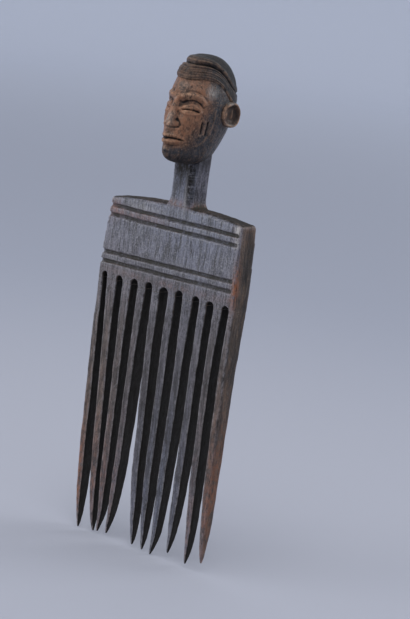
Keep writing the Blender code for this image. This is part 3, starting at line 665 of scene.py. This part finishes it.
def old_hardwood(
    name, brown, slate_and_sheen, worn, warm, pale, dirt_and_shade, grime_and_shade, rough, sheen, splits=0.8, pitted=0.6, strands=False
):
    """Dense dark wood, oiled and handled: brown where it is bare, slate grey where hands have polished it,
    with a bluish sheen painted into the slate.

    The two numbers of a ramp say where in a pattern a colour starts, and where it is full.
    """
    material = bpy.data.materials.new(name)
    material.use_nodes = True
    tree = material.node_tree
    shader = tree.nodes["Principled BSDF"]
    place = node(tree, "ShaderNodeTexCoord").outputs["Object"]
    turn = {"Vector": place, "Rotation": (0, SCRATCH_TURN, 0)}
    scratches = noise(node(tree, "ShaderNodeMapping", turn).outputs[0], *SCRATCHES)
    pattern = {kind: noise(place, *sizes) for kind, sizes in WOOD_PATTERNS.items()}
    worn_at, hollow_at, warm_at, pale_at, polish_at, dark_at, tooled_at = (
        node(tree, "ShaderNodeAttribute", attribute_name=mark_name).outputs["Fac"]
        for mark_name in ("worn", "hollow", "warm", "pale", "polish", "dark", "tooled")
    )
    grain_share, streak_share = FIGURE_SHARES
    lengthwise = plus(times(pattern["grain"], grain_share), times(pattern["streaks"], streak_share))
    grained = ramp(lengthwise, *LIGHT_GRAIN)

    def lay(over, *shares):
        """Lays a colour over what is there, by the product of these shares."""
        nonlocal colour
        share = shares[0]
        for factor in shares[1:]:
            share = times(share, factor)
        colour = tint(share, colour, over)

    # The bare wood, and slate grey for its polish with a painted bluish sheen, then darker blotches where
    # hands have handled it least
    colour = tint(polish_at, tint(grained, *brown), tint(grained, *slate_and_sheen))
    lay(brown[0], ramp(pattern["mottle"], 0.56, 0.36), rest(times(polish_at, 0.65)), 0.70)
    # Painted glints, pale specks where the faces are marked for them; then worn edges, reddish wood rubbed
    # bare, pale chips and scratches
    lay(worn, ramp(pattern["specks"], 0.52, 0.64), tooled_at, 0.60)
    lay(worn, ramp(pattern["flecks"], 0.34, 0.60), worn_at, 0.90)
    lay(warm, ramp(pattern["mottle"], 0.30, 0.55), ramp(pattern["flecks"], 0.30, 0.60), warm_at)
    lay(pale, ramp(lengthwise, 0.36, 0.54), pale_at)
    lay(worn, ramp(scratches, 0.62, 0.70), 0.30)
    # Open pores, dark specks and splits along the grain, then the darker patches, part of them painted shade,
    # and dirt with painted shade in the hollows, darkest in the deepest cuts
    lay(grime_and_shade, ramp(pattern["pores"], 0.56, 0.68), pitted)
    lay(grime_and_shade, ramp(pattern["specks"], 0.46, 0.34), pitted)
    lay(grime_and_shade, ramp(pattern["cracks"], 0.56, 0.66), rest(polish_at), splits)
    lay(grime_and_shade, ramp(pattern["flecks"], 0.80, 0.42), dark_at)
    patchy_dirt_and_shade = plus(times(ramp(pattern["flecks"], 0.62, 0.40), 0.45), 0.50)
    lay(dirt_and_shade, ramp(hollow_at, 0.20, 0.65), patchy_dirt_and_shade)
    lay(grime_and_shade, ramp(hollow_at, 0.70, 0.95))
    tree.links.new(colour, shader.inputs["Base Color"])

    shiniest, dullest = rough + GLOSS_SPREAD[0], rough + GLOSS_SPREAD[1]
    gloss = {"Value": pattern["flecks"], "From Min": 0.3, "From Max": 0.7, "To Min": shiniest}
    dull = node(tree, "ShaderNodeMapRange", gloss | {"To Max": dullest}).outputs["Result"]
    dirty = node(tree, "ShaderNodeMath", {0: hollow_at, 1: dark_at}, operation="MAXIMUM").outputs[0]
    tree.links.new(plus(dull, times(dirty, DIRT_DULLNESS)), shader.inputs["Roughness"])
    shader.inputs["Specular IOR Level"].default_value = sheen

    surface = relief(lengthwise, *GRAIN_RELIEF)
    surface = relief(pattern["flecks"], *PIT_RELIEF, surface)
    surface = relief(ramp(scratches, 0.60, 0.68), *SCRATCH_RELIEF, surface)
    if strands:
        band = node(tree, "ShaderNodeAttribute", attribute_name="band").outputs["Fac"]
        along_band = plus(band, times(pattern["mottle"], STRAND_WANDER))
        strand_inputs = {"W": along_band, "Scale": STRANDS, "Detail": 2.0}
        strand = node(tree, "ShaderNodeTexNoise", strand_inputs, noise_dimensions="1D").outputs[0]
        surface = relief(strand, *STRAND_RELIEF, surface)
    tree.links.new(surface, shader.inputs["Normal"])
    return material


SMOOTH_ANGLE = math.radians(60)


def finish_piece(piece, material, slot, *nodes):
    """Gives a piece its finish, and lets it stand for its solids."""
    piece.data.materials.clear()
    piece.data.materials.append(material)
    work_on(piece)
    bpy.ops.object.shade_smooth_by_angle(angle=SMOOTH_ANGLE)
    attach(piece, "root")
    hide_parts(*nodes)


blade_wood = old_hardwood(
    "blade_wood",
    brown=((0.020, 0.013, 0.009), (0.160, 0.104, 0.068)),
    slate_and_sheen=((0.050, 0.051, 0.064), (0.167, 0.176, 0.231)),
    worn=(0.260, 0.245, 0.255),
    warm=(0.270, 0.095, 0.040),
    pale=(0.400, 0.370, 0.350),
    dirt_and_shade=(0.028, 0.024, 0.016),
    grime_and_shade=(0.009, 0.006, 0.004),
    rough=0.40,
    sheen=0.36,
)
finish_piece(plate_piece, blade_wood, "plate_wood", "plate")
finish_piece(neck_piece, blade_wood, "neck_wood", "neck")
for piece, tooth in zip(tooth_pieces, TEETH):
    piece.name = piece.data.name = "carved_" + tooth
    finish_piece(piece, blade_wood, "teeth_wood", tooth)

# Head
# The face and skull, rounded out of the end of the billet and then cut with the point of a knife: lids,
# brows, lips and cheek marks are lines and ridges left in the surface. Worn warm and pale in front.
HEAD_HEIGHT = 0.0342
HEAD_WIDTH = 0.0198
HEAD_DEPTH = 0.0262
HEAD_MIDDLE_Y = -0.0030
CHIN_BOTTOM = 0.03005
JAW_ROUNDNESS = 0.50
CROWN_ROUNDNESS = 0.88
BALL_POINTS = (200, 160)
# How far the ball's points are drawn together towards the face, where the detail is
FACE_FINENESS = 0.35
# Up the head from chin to crown: height, width, depth, how far its middle lies forward, and how much
# narrower the face is than the back of the head
HEAD_LEVELS = (
    (0.00, 0.88, 0.98, 0.270, 0.44),
    (0.08, 0.90, 1.02, 0.265, 0.42),
    (0.18, 0.90, 1.02, 0.230, 0.35),
    (0.30, 0.93, 1.00, 0.180, 0.24),
    (0.42, 0.96, 1.00, 0.130, 0.16),
    (0.54, 0.98, 1.00, 0.105, 0.13),
    (0.68, 1.00, 1.01, 0.085, 0.12),
    (0.84, 1.00, 1.01, 0.090, 0.12),
    (1.00, 0.98, 0.98, 0.100, 0.12),
)
# Rounded forms on both sides of the face: place across and up, reach across and up, relief, droop
FACE_FORMS = (
    (0.40, 0.655, 0.64, 0.062, 0.030, 0.2),
    (0.45, 0.560, 0.46, 0.105, -0.050, 0.2),
    (0.47, 0.535, 0.42, 0.080, 0.052, 0.1),
    (0.60, 0.430, 0.50, 0.120, 0.026, 0.0),
    (0.17, 0.385, 0.20, 0.034, 0.036, 0.0),
    (0.00, 0.240, 0.66, 0.160, 0.036, 0.0),
    (0.00, 0.272, 0.54, 0.044, 0.026, 0.0),
    (0.00, 0.210, 0.50, 0.046, 0.026, 0.0),
    (0.00, 0.085, 0.62, 0.120, 0.056, 0.0),
)
# Down the nose: place, how far it stands out, and its half width
NOSE_TOP, NOSE_BASE, NOSE_END = 0.625, 0.365, 0.060
NOSE_LEVELS = ((0.00, 0.026, 0.20), (0.35, 0.046, 0.21), (0.80, 0.086, 0.27), (1.00, 0.084, 0.33))
NOSE_FLATNESS = 1.35
HEAD_GRAIN = 0.00021
HEAD_ROUNDS = 4
HEAD_STROKES = (("CLOUDS", 0.0040, 0.00024), ("VORONOI", 0.0022, 0.00022))
# Knife lines, on both sides of the face: points round from the middle and up in millimetres, then the
# line's half width and its height above the surface, which is below it for a cut
KNIFE_LINES = (
    (((2.2, 48.0), (3.2, 48.2), (4.4, 48.2), (5.6, 48.0), (6.7, 47.6)), 0.32, -0.60),
    (((1.6, 48.0), (2.8, 49.2), (4.3, 49.6), (5.9, 49.1), (7.4, 47.6)), 0.38, 0.24),
    (((1.6, 47.9), (2.8, 46.9), (4.3, 46.5), (5.9, 46.8), (7.4, 47.5)), 0.36, 0.22),
    (((1.9, 50.2), (3.1, 50.9), (4.6, 51.1), (6.3, 50.6), (7.9, 49.1)), 0.34, -0.26),
    (((1.5, 52.2), (3.2, 52.9), (5.0, 52.8), (6.9, 51.9), (8.6, 50.2)), 0.50, 0.30),
    (((2.0, 53.6), (3.6, 54.2), (5.4, 54.0), (7.4, 53.0), (9.0, 51.4)), 0.34, -0.18),
    (((0.0, 38.35), (1.2, 38.5), (2.4, 38.3), (3.5, 38.0)), 0.28, -0.55),
    (((0.0, 39.25), (0.9, 39.45), (2.3, 38.95), (3.6, 38.3)), 0.38, 0.20),
    (((0.0, 37.4), (1.2, 37.3), (2.4, 37.5), (3.5, 37.9)), 0.40, 0.20),
    (((0.0, 36.1), (1.4, 36.1), (2.6, 36.4)), 0.46, -0.26),
    (((1.5, 44.6), (2.1, 43.8), (2.3, 42.8)), 0.32, -0.28),
    (((0.0, 42.0), (1.0, 41.9), (2.0, 42.2)), 0.36, -0.32),
    (((8.2, 44.3), (8.1, 42.4), (7.9, 40.6)), 0.34, -0.55),
    (((9.2, 44.6), (9.1, 42.6), (8.9, 40.6)), 0.34, 0.18),
    (((10.2, 44.6), (10.1, 42.6), (9.8, 40.4)), 0.34, -0.55),
    (((12.6, 48.6), (12.2, 45.0), (11.4, 41.6), (9.6, 38.6), (7.2, 36.6)), 0.55, 0.24),
)
LINE_STEPS = 8
# How far round from the middle of the face the lines reach, in radians
LINES_REACH = 2.2


def along(stations, values, places):
    """Reads a smooth curve through the values at the stations, without overshooting between them."""
    stations, values = np.array(stations), np.array(values)
    slopes = np.diff(values) / np.diff(stations)
    joined = slopes[:-1] * slopes[1:]
    inner = np.where(joined > 0, 2 * joined / np.where(joined > 0, slopes[:-1] + slopes[1:], 1), 0)
    leans = np.concatenate((slopes[:1], inner, slopes[-1:]))
    places = np.clip(places, stations[0], stations[-1])
    last = np.clip(np.searchsorted(stations, places, side="right") - 1, 0, len(slopes) - 1)
    span = np.diff(stations)[last]
    share = (places - stations[last]) / span
    climb, first, second = np.diff(values)[last], leans[last] * span, leans[last + 1] * span
    curve = share**2 * (3 * climb - 2 * first - second) + share**3 * (first + second - 2 * climb)
    return values[last] + share * first + curve


def columns(table):
    return np.array(table).T


def face_relief(across, height):
    """How far the face stands out at a place across and up it, as a share of the head's depth."""
    relief = np.zeros(len(across))
    for place, level, reach_across, reach_up, share, droop in FACE_FORMS:
        off_across = (np.abs(across) - place) / reach_across
        off_up = (height - level) / reach_up + droop * off_across**2
        relief += share * soft_step(1 - np.hypot(off_across, off_up))
    down = (NOSE_TOP - height) / (NOSE_TOP - NOSE_BASE)
    places, stands, half_widths = columns(NOSE_LEVELS)
    started = rise(height, NOSE_TOP + NOSE_END, -NOSE_END)
    ended = rise(height, NOSE_BASE - NOSE_END, NOSE_END)
    ridge = soft_step((1 - np.abs(across) / along(places, half_widths, down)) * NOSE_FLATNESS)
    return relief + along(places, stands, down) * ridge * started * ended


def head_surface(directions, dressed=False):
    """The points of the head's surface in these directions from its middle, bare or under the hair."""
    height = (directions[:, 2] + 1) / 2
    level = np.maximum(np.hypot(directions[:, 0], directions[:, 1]), 1e-6)
    crown = HAIR_ROUNDNESS if dressed else CROWN_ROUNDNESS
    fullness = level ** np.where(directions[:, 2] < 0, JAW_ROUNDNESS, crown) / level
    across, forward = directions[:, 0] * fullness, -directions[:, 1] * fullness
    levels, width, depth, ahead, narrow = columns(HEAD_LEVELS)
    narrowing = 1 - along(levels, narrow, height) * np.maximum(forward, 0)
    x = HEAD_WIDTH / 2 * along(levels, width, height) * narrowing * across
    relief = 0 if dressed else face_relief(across, height) * soft_step(forward * 2)
    y = -HEAD_DEPTH * (along(levels, depth, height) * forward / 2 + along(levels, ahead, height) + relief)
    z = CHIN_BOTTOM + HEAD_HEIGHT * height
    if dressed:
        z += HAIR_LIFT * soft_step(directions[:, 2])
    return np.stack((x + NECK_SHIFT, y, z), axis=1)


def head_ball(name):
    """A fine ball primitive, round which the head and the hair are shaped."""
    start_fresh()
    bpy.ops.mesh.primitive_uv_sphere_add(segments=BALL_POINTS[0], ring_count=BALL_POINTS[1], radius=1)
    return named(name)


def off_line(points, line):
    """How far points lie from a line of straight stretches, in the flat."""
    nearest = np.full(len(points), np.inf)
    for start, end in zip(line, line[1:]):
        start, run = np.array(start), np.array(end) - np.array(start)
        share = np.clip((points - start) @ run / (run @ run), 0, 1)
        nearest = np.minimum(nearest, np.linalg.norm(points - start - share[:, None] * run, axis=1))
    return nearest


def smooth_line(points):
    """The line that runs smoothly through these points."""
    places = np.linspace(0, 1, len(points))
    reads = np.linspace(0, 1, (len(points) - 1) * LINE_STEPS + 1)
    return np.stack([along(places, values, reads) for values in columns(points)], axis=1)


def knife_cut(piece):
    """Cuts and raises the knife lines in the face, along the surface's own normals."""
    points, normals = vertex_array(piece), vertex_array(piece, "normal")
    turn = np.arctan2(np.abs(points[:, 0] - NECK_SHIFT), -(points[:, 1] - HEAD_MIDDLE_Y))
    flat = np.stack((turn * HEAD_WIDTH / 2, points[:, 2]), axis=1) * 1000
    relief = np.zeros(len(points))
    for line, half_width, height in KNIFE_LINES:
        relief += height * np.exp(-((off_line(flat, smooth_line(line)) / half_width) ** 2))
    place_points(piece, points + normals * (relief / 1000 * (turn < LINES_REACH))[:, None])


carved_head = head_ball("carved_head")
directions = vertex_array(carved_head)
turns = np.arctan2(directions[:, 0], -directions[:, 1])
turns -= np.sin(turns) * FACE_FINENESS
rises = np.arcsin(np.clip(directions[:, 2], -1, 1))
directions = np.stack((np.cos(rises) * np.sin(turns), -np.cos(rises) * np.cos(turns), np.sin(rises)), axis=1)
place_points(carved_head, head_surface(directions))
reskin(carved_head, HEAD_GRAIN, HEAD_ROUNDS)
knife_cut(carved_head)
rub_down(carved_head, 1)
for strokes in HEAD_STROKES:
    roughen(carved_head, *strokes)

# Rubbed to bare wood over the front of the face, with paler flats where the knife last went. A pair of
# shares here and below is what a mark has everywhere, and what it gains where the wood is worn.
FACE_WEAR_START = -0.0050
FACE_WEAR_REACH = 0.0060
JAW_WEAR_START = -0.0095
JAW_LEVEL, CHEEK_LEVEL = 0.039, 0.050
FACE_WEAR_FOOT = (0.0345, 0.003)
# Below the chin's level the head is painted darker: painted shade under the chin
CHIN_SHADE = (0.0350, -0.0040)
CHIN_SHADE_SHARE = 0.7
HEAD_EDGE_WEAR = (0.5, 0.5)
# Painted glints on the head, everywhere and more where the face is worn
HEAD_GLINTS = (0.25, 0.5)
HEAD_EDGES = (10, 0.00015)
HEAD_HOLLOWS = ((24, 0.00023), (90, 0.00078))
HEAD_PALE_PATCHES = (
    ((9.2, -7.8, 54.6), (1.6, 2, 2), 1.0),
    ((0, -20, 45), (2.2, 3, 3), 0.5),
    ((3, -16, 56), (6, 5, 1.6), 0.2),
)

head_points = vertex_array(carved_head)
head_y, head_z = head_points.T[1:]
wear_start = np.interp(head_z, (JAW_LEVEL, CHEEK_LEVEL), (JAW_WEAR_START, FACE_WEAR_START))
face_wear = rise(head_y, wear_start, -FACE_WEAR_REACH) * rise(head_z, *FACE_WEAR_FOOT)
small_hollows, wide_hollows = (-proudness(carved_head, *hollows) for hollows in HEAD_HOLLOWS)
mark(
    carved_head,
    worn=proudness(carved_head, *HEAD_EDGES) * (HEAD_EDGE_WEAR[0] + HEAD_EDGE_WEAR[1] * face_wear),
    # Small and wide recesses, darkened in the finish with painted shade and dirt
    hollow=np.maximum(small_hollows, wide_hollows),
    warm=face_wear,
    dark=rise(head_z, *CHIN_SHADE) * CHIN_SHADE_SHARE,
    pale=spread_of(head_points, HEAD_PALE_PATCHES),
    polish=1 - face_wear,
    tooled=HEAD_GLINTS[0] + HEAD_GLINTS[1] * face_wear,
)
head_wood = old_hardwood(
    "head_wood",
    brown=((0.038, 0.021, 0.014), (0.120, 0.066, 0.042)),
    slate_and_sheen=((0.012, 0.013, 0.016), (0.042, 0.046, 0.053)),
    worn=(0.560, 0.320, 0.190),
    warm=(0.262, 0.118, 0.062),
    pale=(0.380, 0.350, 0.320),
    dirt_and_shade=(0.022, 0.014, 0.010),
    grime_and_shade=(0.006, 0.004, 0.004),
    rough=0.34,
    sheen=0.30,
    splits=0.10,
    pitted=0.30,
)
finish_piece(carved_head, head_wood, "head_wood", "head")

# Dressed hair
# A cap of hair in level bands that sweep back and down over the temples, left proud of the skull. A deep
# cut runs under the crown's ridge, and the top of the cap is rubbed smooth.
HAIR_ROUNDNESS = 0.72
HAIR_LIFT = 0.0009
HAIR_GRAIN = 0.00018
HAIR_SEAT = 0.0465
HAIR_ROUNDS = 6
# Back from the brow: the place and how high the hairline lies there, in millimetres
HAIRLINE = (
    (-16.0, 57.9), (-12.0, 58.0), (-8.0, 57.7), (-5.0, 56.8), (-2.0, 54.6), (1.0, 51.6), (5.0, 49.6),
    (12.0, 48.4),
)
# Straight up from the hairline: the height and how far the hair stands out there, in millimetres. The
# first three are the cap's root, sunk under the skin of the head.
HAIR_BANDS = (
    (-12.0, -3.0), (-1.2, -2.8), (-0.15, -1.0), (0.15, -0.10), (0.6, 0.22), (1.2, 0.42), (1.55, 0.32),
    (1.85, 0.42), (2.1, 0.36), (2.5, 0.55), (3.2, 0.50), (3.6, 0.26), (3.9, 0.44), (4.4, 0.36), (4.8, -0.55),
    (5.2, -0.50), (5.6, 0.80), (6.3, 1.00), (6.9, 0.88), (7.3, 0.72), (7.7, 0.80), (8.5, 0.85), (9.3, 0.90),
    (14.0, 0.90),
)
ROOT_TOP = 0.00015
# How the hairline wanders, across the head and back along it: radians per metre, and how far
WANDER_ACROSS = (520, 0.00014)
WANDER_BACK = (370, 0.00018)
# Fine strands cut along the bands: how far apart, how deep, how they sway, and where they end up the cap
STRAND_PITCH = 0.00075
STRAND_DEPTH = 0.00012
STRAND_SWAY = (900, 0.6)
STRANDS_END = (0.0075, -0.002)
# Behind the temples the bands are shallower: where that begins and how soon, how far, and the level they keep
HAIR_CALM = (-0.0040, 0.0060)
HAIR_CALM_SHARE = 0.65
HAIR_CALM_STAND = 0.0007
HAIR_STROKES = ("CLOUDS", 0.003, 0.00022)
# The heights above the hairline between which the hair's finish runs, is worn by the brow, and darkens
BAND_RANGE = (-0.001, 0.011)
HAIR_WEAR_END = (0.0072, -0.003)
HAIR_DARKENING = (0.0040, 0.006)
HAIR_WEAR_SHARE = 0.5
HAIR_DARKNESS = (0.08, 0.50)
# Painted glints on the hair
HAIR_GLINTS = (0.15, 0.5)
HAIR_EDGES = (8, 0.00017)
HAIR_HOLLOWS = (24, 0.00022)

dressed_hair = head_ball("dressed_hair")
place_points(dressed_hair, head_surface(vertex_array(dressed_hair), dressed=True))
with editing(dressed_hair, "SELECT"):
    bpy.ops.mesh.bisect(plane_co=(0, 0, HAIR_SEAT), plane_no=(0, 0, 1), use_fill=True, clear_inner=True)
reskin(dressed_hair, HAIR_GRAIN, HAIR_ROUNDS)
hair_points, hair_normals = vertex_array(dressed_hair), vertex_array(dressed_hair, "normal")
hair_x, hair_y, hair_z = hair_points.T
wander = np.sin(hair_x * WANDER_ACROSS[0]) * WANDER_ACROSS[1]
wander += np.sin(hair_y * WANDER_BACK[0] + 1) * WANDER_BACK[1]
line_places, line_heights = columns(HAIRLINE) / 1000
above = hair_z - along(line_places, line_heights, hair_y) + wander
band_heights, band_stands = columns(HAIR_BANDS) / 1000
stand = np.interp(above, band_heights, band_stands)
shown = above > ROOT_TOP
stand += (HAIR_CALM_STAND - stand) * rise(hair_y, *HAIR_CALM) * HAIR_CALM_SHARE * shown
strand_turn = above / STRAND_PITCH * math.tau + np.sin(hair_x * STRAND_SWAY[0]) * STRAND_SWAY[1]
stand += np.sin(strand_turn) * STRAND_DEPTH / 2 * rise(above, *STRANDS_END) * shown
place_points(dressed_hair, hair_points + hair_normals * stand[:, None])
rub_down(dressed_hair, 2)
roughen(dressed_hair, *HAIR_STROKES)
hair_wear = rise(hair_y, FACE_WEAR_START, -FACE_WEAR_REACH) * rise(above, *HAIR_WEAR_END) * HAIR_WEAR_SHARE
mark(
    dressed_hair,
    worn=proudness(dressed_hair, *HAIR_EDGES),
    # Grooves, darkened in the finish with dirt and painted shade
    hollow=-proudness(dressed_hair, *HAIR_HOLLOWS),
    warm=hair_wear,
    pale=np.zeros(len(hair_points)),
    dark=HAIR_DARKNESS[0] + HAIR_DARKNESS[1] * rise(above, *HAIR_DARKENING),
    polish=1 - hair_wear,
    tooled=HAIR_GLINTS[0] + HAIR_GLINTS[1] * hair_wear,
    band=(above - BAND_RANGE[0]) / (BAND_RANGE[1] - BAND_RANGE[0]),
)
hair_wood = old_hardwood(
    "hair_wood",
    brown=((0.012, 0.009, 0.007), (0.060, 0.038, 0.028)),
    slate_and_sheen=((0.009, 0.010, 0.012), (0.030, 0.033, 0.038)),
    worn=(0.300, 0.185, 0.120),
    warm=(0.180, 0.090, 0.052),
    pale=(0.380, 0.350, 0.320),
    dirt_and_shade=(0.018, 0.013, 0.010),
    grime_and_shade=(0.006, 0.005, 0.004),
    rough=0.34,
    sheen=0.25,
    splits=0.2,
    pitted=0.5,
    strands=True,
)
finish_piece(dressed_hair, hair_wood, "hair_wood", "coiffure")

# Ears
# Round ears left standing from the head, each hollowed inside a raised rim that opens towards the face.
EAR_HALF_HEIGHT = 0.0042
EAR_HALF_LENGTH = 0.0040
EAR_MIDDLE_Y = 0.0008
EAR_MIDDLE_Z = 0.0476
EAR_LEAN = math.radians(12)
EAR_POINTS = 64
EAR_ROUNDS = 3
EAR_STROKES = ("CLOUDS", 0.002, 0.00022)
# From the root inside the head over the rim and down into the bowl: the ring's size as a share of the
# ear, how far out it lies, and how far it is drawn back off the face, in millimetres
EAR_RINGS = (
    (0.84, 6.0, 0.0), (0.94, 8.6, 0.0), (1.00, 9.8, 0.0), (1.00, 10.6, 0.0), (0.97, 11.2, 0.0),
    (0.91, 11.55, 0.0), (0.84, 11.5, 0.0), (0.77, 11.1, 0.0), (0.71, 10.6, -0.1), (0.62, 10.3, -0.2),
    (0.42, 10.2, -0.2), (0.20, 10.3, -0.2),
)
# Folds inside the ear, with how far they stand out as their strength
EAR_FOLDS = (
    ((11, -1.9, 47.5), (1000, 0.7, 1.6), 0.6),
    ((11, 0.2, 45.2), (1000, 1.2, 0.5), 0.4),
    ((11, 1.2, 48.2), (1000, 0.5, 1.8), 0.3),
)
FOLDS_FROM = 0.0100
# How much lower the rim lies towards the face than behind, in millimetres, and where that begins: round the
# ear, and out from the head
EAR_OPENING = 1.2
OPENING_ROUND = (0.1, 0.9)
OPENING_OUT = (10, 1.5)
# The bowl, as shares of the ear, and the walls, by how squarely they face out
EAR_BOWL = (0.82, -0.12)
EAR_WALLS = (0.80, -0.35)
# Painted glints on the ear, fewer in its bowl
EAR_GLINTS = 0.6
# The ear is a little darker all over; its walls are darkened as painted shade, and its bowl with dirt and
# painted shade
EAR_DARKNESS, BOWL_DARKNESS, EAR_WALL_SHADE = 0.10, 0.25, 0.35
BOWL_DIRT_AND_SHADE, BOWL_WARMTH = 0.42, 0.3
EAR_EDGES = (8, 0.00014)
EAR_HOLLOWS = (24, 0.00026)
# Painted highlights, pale on the rim's top and on the lobe's line
EAR_PAINTED_HIGHLIGHTS = (
    ((11.8, -0.8, 51.4), (3, 1.2, 0.7), 0.8),
    ((10.8, 0.4, 44.3), (3, 1.4, 0.4), 0.6),
)


def ear_ring(side, size, out, forward):
    """One ring of the ear's skin, from its top round by its back."""
    ring = []
    for turn in np.linspace(0, math.tau, EAR_POINTS, endpoint=False):
        back, up = math.sin(turn), math.cos(turn)
        open_share = float(rise(-back, *OPENING_ROUND) * rise(out, *OPENING_OUT))
        off = Vector((0, back * size * EAR_HALF_LENGTH + forward / 1000, up * size * EAR_HALF_HEIGHT))
        off.rotate(Matrix.Rotation(EAR_LEAN, 3, "X"))
        x = NECK_SHIFT + side * (out - EAR_OPENING * open_share) / 1000
        ring.append(Vector((x, EAR_MIDDLE_Y + off.y, EAR_MIDDLE_Z + off.z)))
    return ring


for side, ear_name, ear_node in ((1, "left_ear", "ear_left"), (-1, "right_ear", "ear_right")):
    ear = draw_out(ear_name, [ear_ring(side, *ring) for ring in EAR_RINGS])
    reskin(ear, HEAD_GRAIN, EAR_ROUNDS)
    folded = vertex_array(ear)
    folded[:, 0] += side * spread_of(folded, EAR_FOLDS) / 1000 * (folded[:, 0] * side > FOLDS_FROM)
    place_points(ear, folded)
    roughen(ear, *EAR_STROKES)
    ear_points = vertex_array(ear)
    back_share = (ear_points[:, 1] - EAR_MIDDLE_Y) / EAR_HALF_LENGTH
    up_share = (ear_points[:, 2] - EAR_MIDDLE_Z) / EAR_HALF_HEIGHT
    in_bowl = rise(np.hypot(back_share, up_share), *EAR_BOWL)
    on_wall = rise(np.abs(vertex_array(ear, "normal")[:, 0]), *EAR_WALLS) * (1 - in_bowl)
    mark(
        ear,
        worn=proudness(ear, *EAR_EDGES),
        # Recesses and the bowl, darkened in the finish with dirt and painted shade
        hollow=np.maximum(-proudness(ear, *EAR_HOLLOWS), in_bowl * BOWL_DIRT_AND_SHADE),
        warm=in_bowl * BOWL_WARMTH,
        pale=spread_of(ear_points * (side, 1, 1), EAR_PAINTED_HIGHLIGHTS),
        polish=0.5 - in_bowl / 2,
        tooled=EAR_GLINTS - in_bowl / 2,
        dark=EAR_DARKNESS + in_bowl * BOWL_DARKNESS + on_wall * EAR_WALL_SHADE,
    )
    finish_piece(ear, head_wood, "ear_wood", ear_node)

# Floor
# A plain pale floor that turns up into a low wall all round, far behind, in one curve.
FLOOR_REACH = 2.6
WALL_HEIGHT = 1.6
COVE_RADIUS = 1.0
COVE_STEPS = 12
FLOOR_POINTS = 96
FLOOR_ROUGHNESS = 0.9
NEAR_COLOUR = (0.430, 0.430, 0.480)
FAR_COLOUR = (0.360, 0.370, 0.430)
WALL_COLOUR = (0.640, 0.660, 0.745)
# How far out the floor's colour begins to turn into the next one, and ends
NEAR_TURN = (0.1, 0.6)
FAR_TURN = (0.6, 3.2)

floor_level = solid_box[0][2]
start_fresh()
bpy.ops.mesh.primitive_circle_add(vertices=FLOOR_POINTS, radius=FLOOR_REACH, fill_type="NGON")
floor = named("floor")
bpy.ops.transform.translate(value=(0, 0, floor_level))
bpy.ops.object.transform_apply(location=True, rotation=True, scale=True)
bends = [math.radians(90) * (step + 1) / COVE_STEPS for step in range(COVE_STEPS)]
rings = [(FLOOR_REACH + COVE_RADIUS * math.sin(bend), COVE_RADIUS * (1 - math.cos(bend))) for bend in bends]
for reach, lift in rings + [(FLOOR_REACH + COVE_RADIUS, WALL_HEIGHT)]:
    with editing(floor):
        bpy.ops.mesh.select_mode(type="EDGE")
        bpy.ops.mesh.extrude_edges_move(TRANSFORM_OT_translate={"value": (0, 0, 0)})
    for vert in [vert for vert in floor.data.vertices if vert.select]:
        away = Vector((vert.co.x, vert.co.y, 0)).normalized()
        vert.co = away * reach + Vector((0, 0, floor_level + lift))
work_on(floor)
bpy.ops.object.shade_smooth()
floor_paint = bpy.data.materials.new("floor_paint")
floor_paint.use_nodes = True
floor_tree = floor_paint.node_tree
floor_shader = floor_tree.nodes["Principled BSDF"]
floor_place = node(floor_tree, "ShaderNodeTexCoord").outputs["Object"]
distance = node(floor_tree, "ShaderNodeVectorMath", {0: floor_place}, operation="LENGTH").outputs["Value"]
floor_colour = tint(ramp(distance, *NEAR_TURN), NEAR_COLOUR, FAR_COLOUR)
floor_colour = tint(ramp(distance, *FAR_TURN), floor_colour, WALL_COLOUR)
floor_tree.links.new(floor_colour, floor_shader.inputs["Base Color"])
floor_shader.inputs["Roughness"].default_value = FLOOR_ROUGHNESS
floor_shader.inputs["Specular IOR Level"].default_value = 0
floor.data.materials.append(floor_paint)

# Light
# A pale room with three large soft lamps: one low in front on the left, one above and one behind.
ROOM_COLOUR = (0.86, 0.92, 1.0)
ROOM_STRENGTH = 0.75
LAMP_COLOUR = (0.94, 0.97, 1.0)
# Each lamp's place, width, height and power
LAMPS = {
    "lamp_low_left": ((-0.95, -1.15, 0.16), 0.9, 0.45, 11.0),
    "lamp_above": ((0.2, -0.5, 1.4), 0.9, 0.9, 6.5),
    "lamp_behind": ((0.9, 1.2, 0.7), 0.9, 0.9, 7.0),
}

world = bpy.data.worlds.new("room")
world.use_nodes = True
room_light = world.node_tree.nodes["Background"].inputs
room_light["Color"].default_value = (*ROOM_COLOUR, 1)
room_light["Strength"].default_value = ROOM_STRENGTH
bpy.context.scene.world = world
for name, (place, width, height, power) in LAMPS.items():
    lamp = bpy.data.objects.new(name, bpy.data.lights.new(name, "AREA"))
    bpy.context.scene.collection.objects.link(lamp)
    lamp.data.shape = "RECTANGLE"
    lamp.data.size, lamp.data.size_y = width, height
    lamp.data.energy = power
    lamp.data.color = LAMP_COLOUR
    lamp.location = place
    lamp.rotation_euler = Vector(place).to_track_quat("Z", "Y").to_euler()
bpy.context.scene.view_settings.view_transform = "Standard"
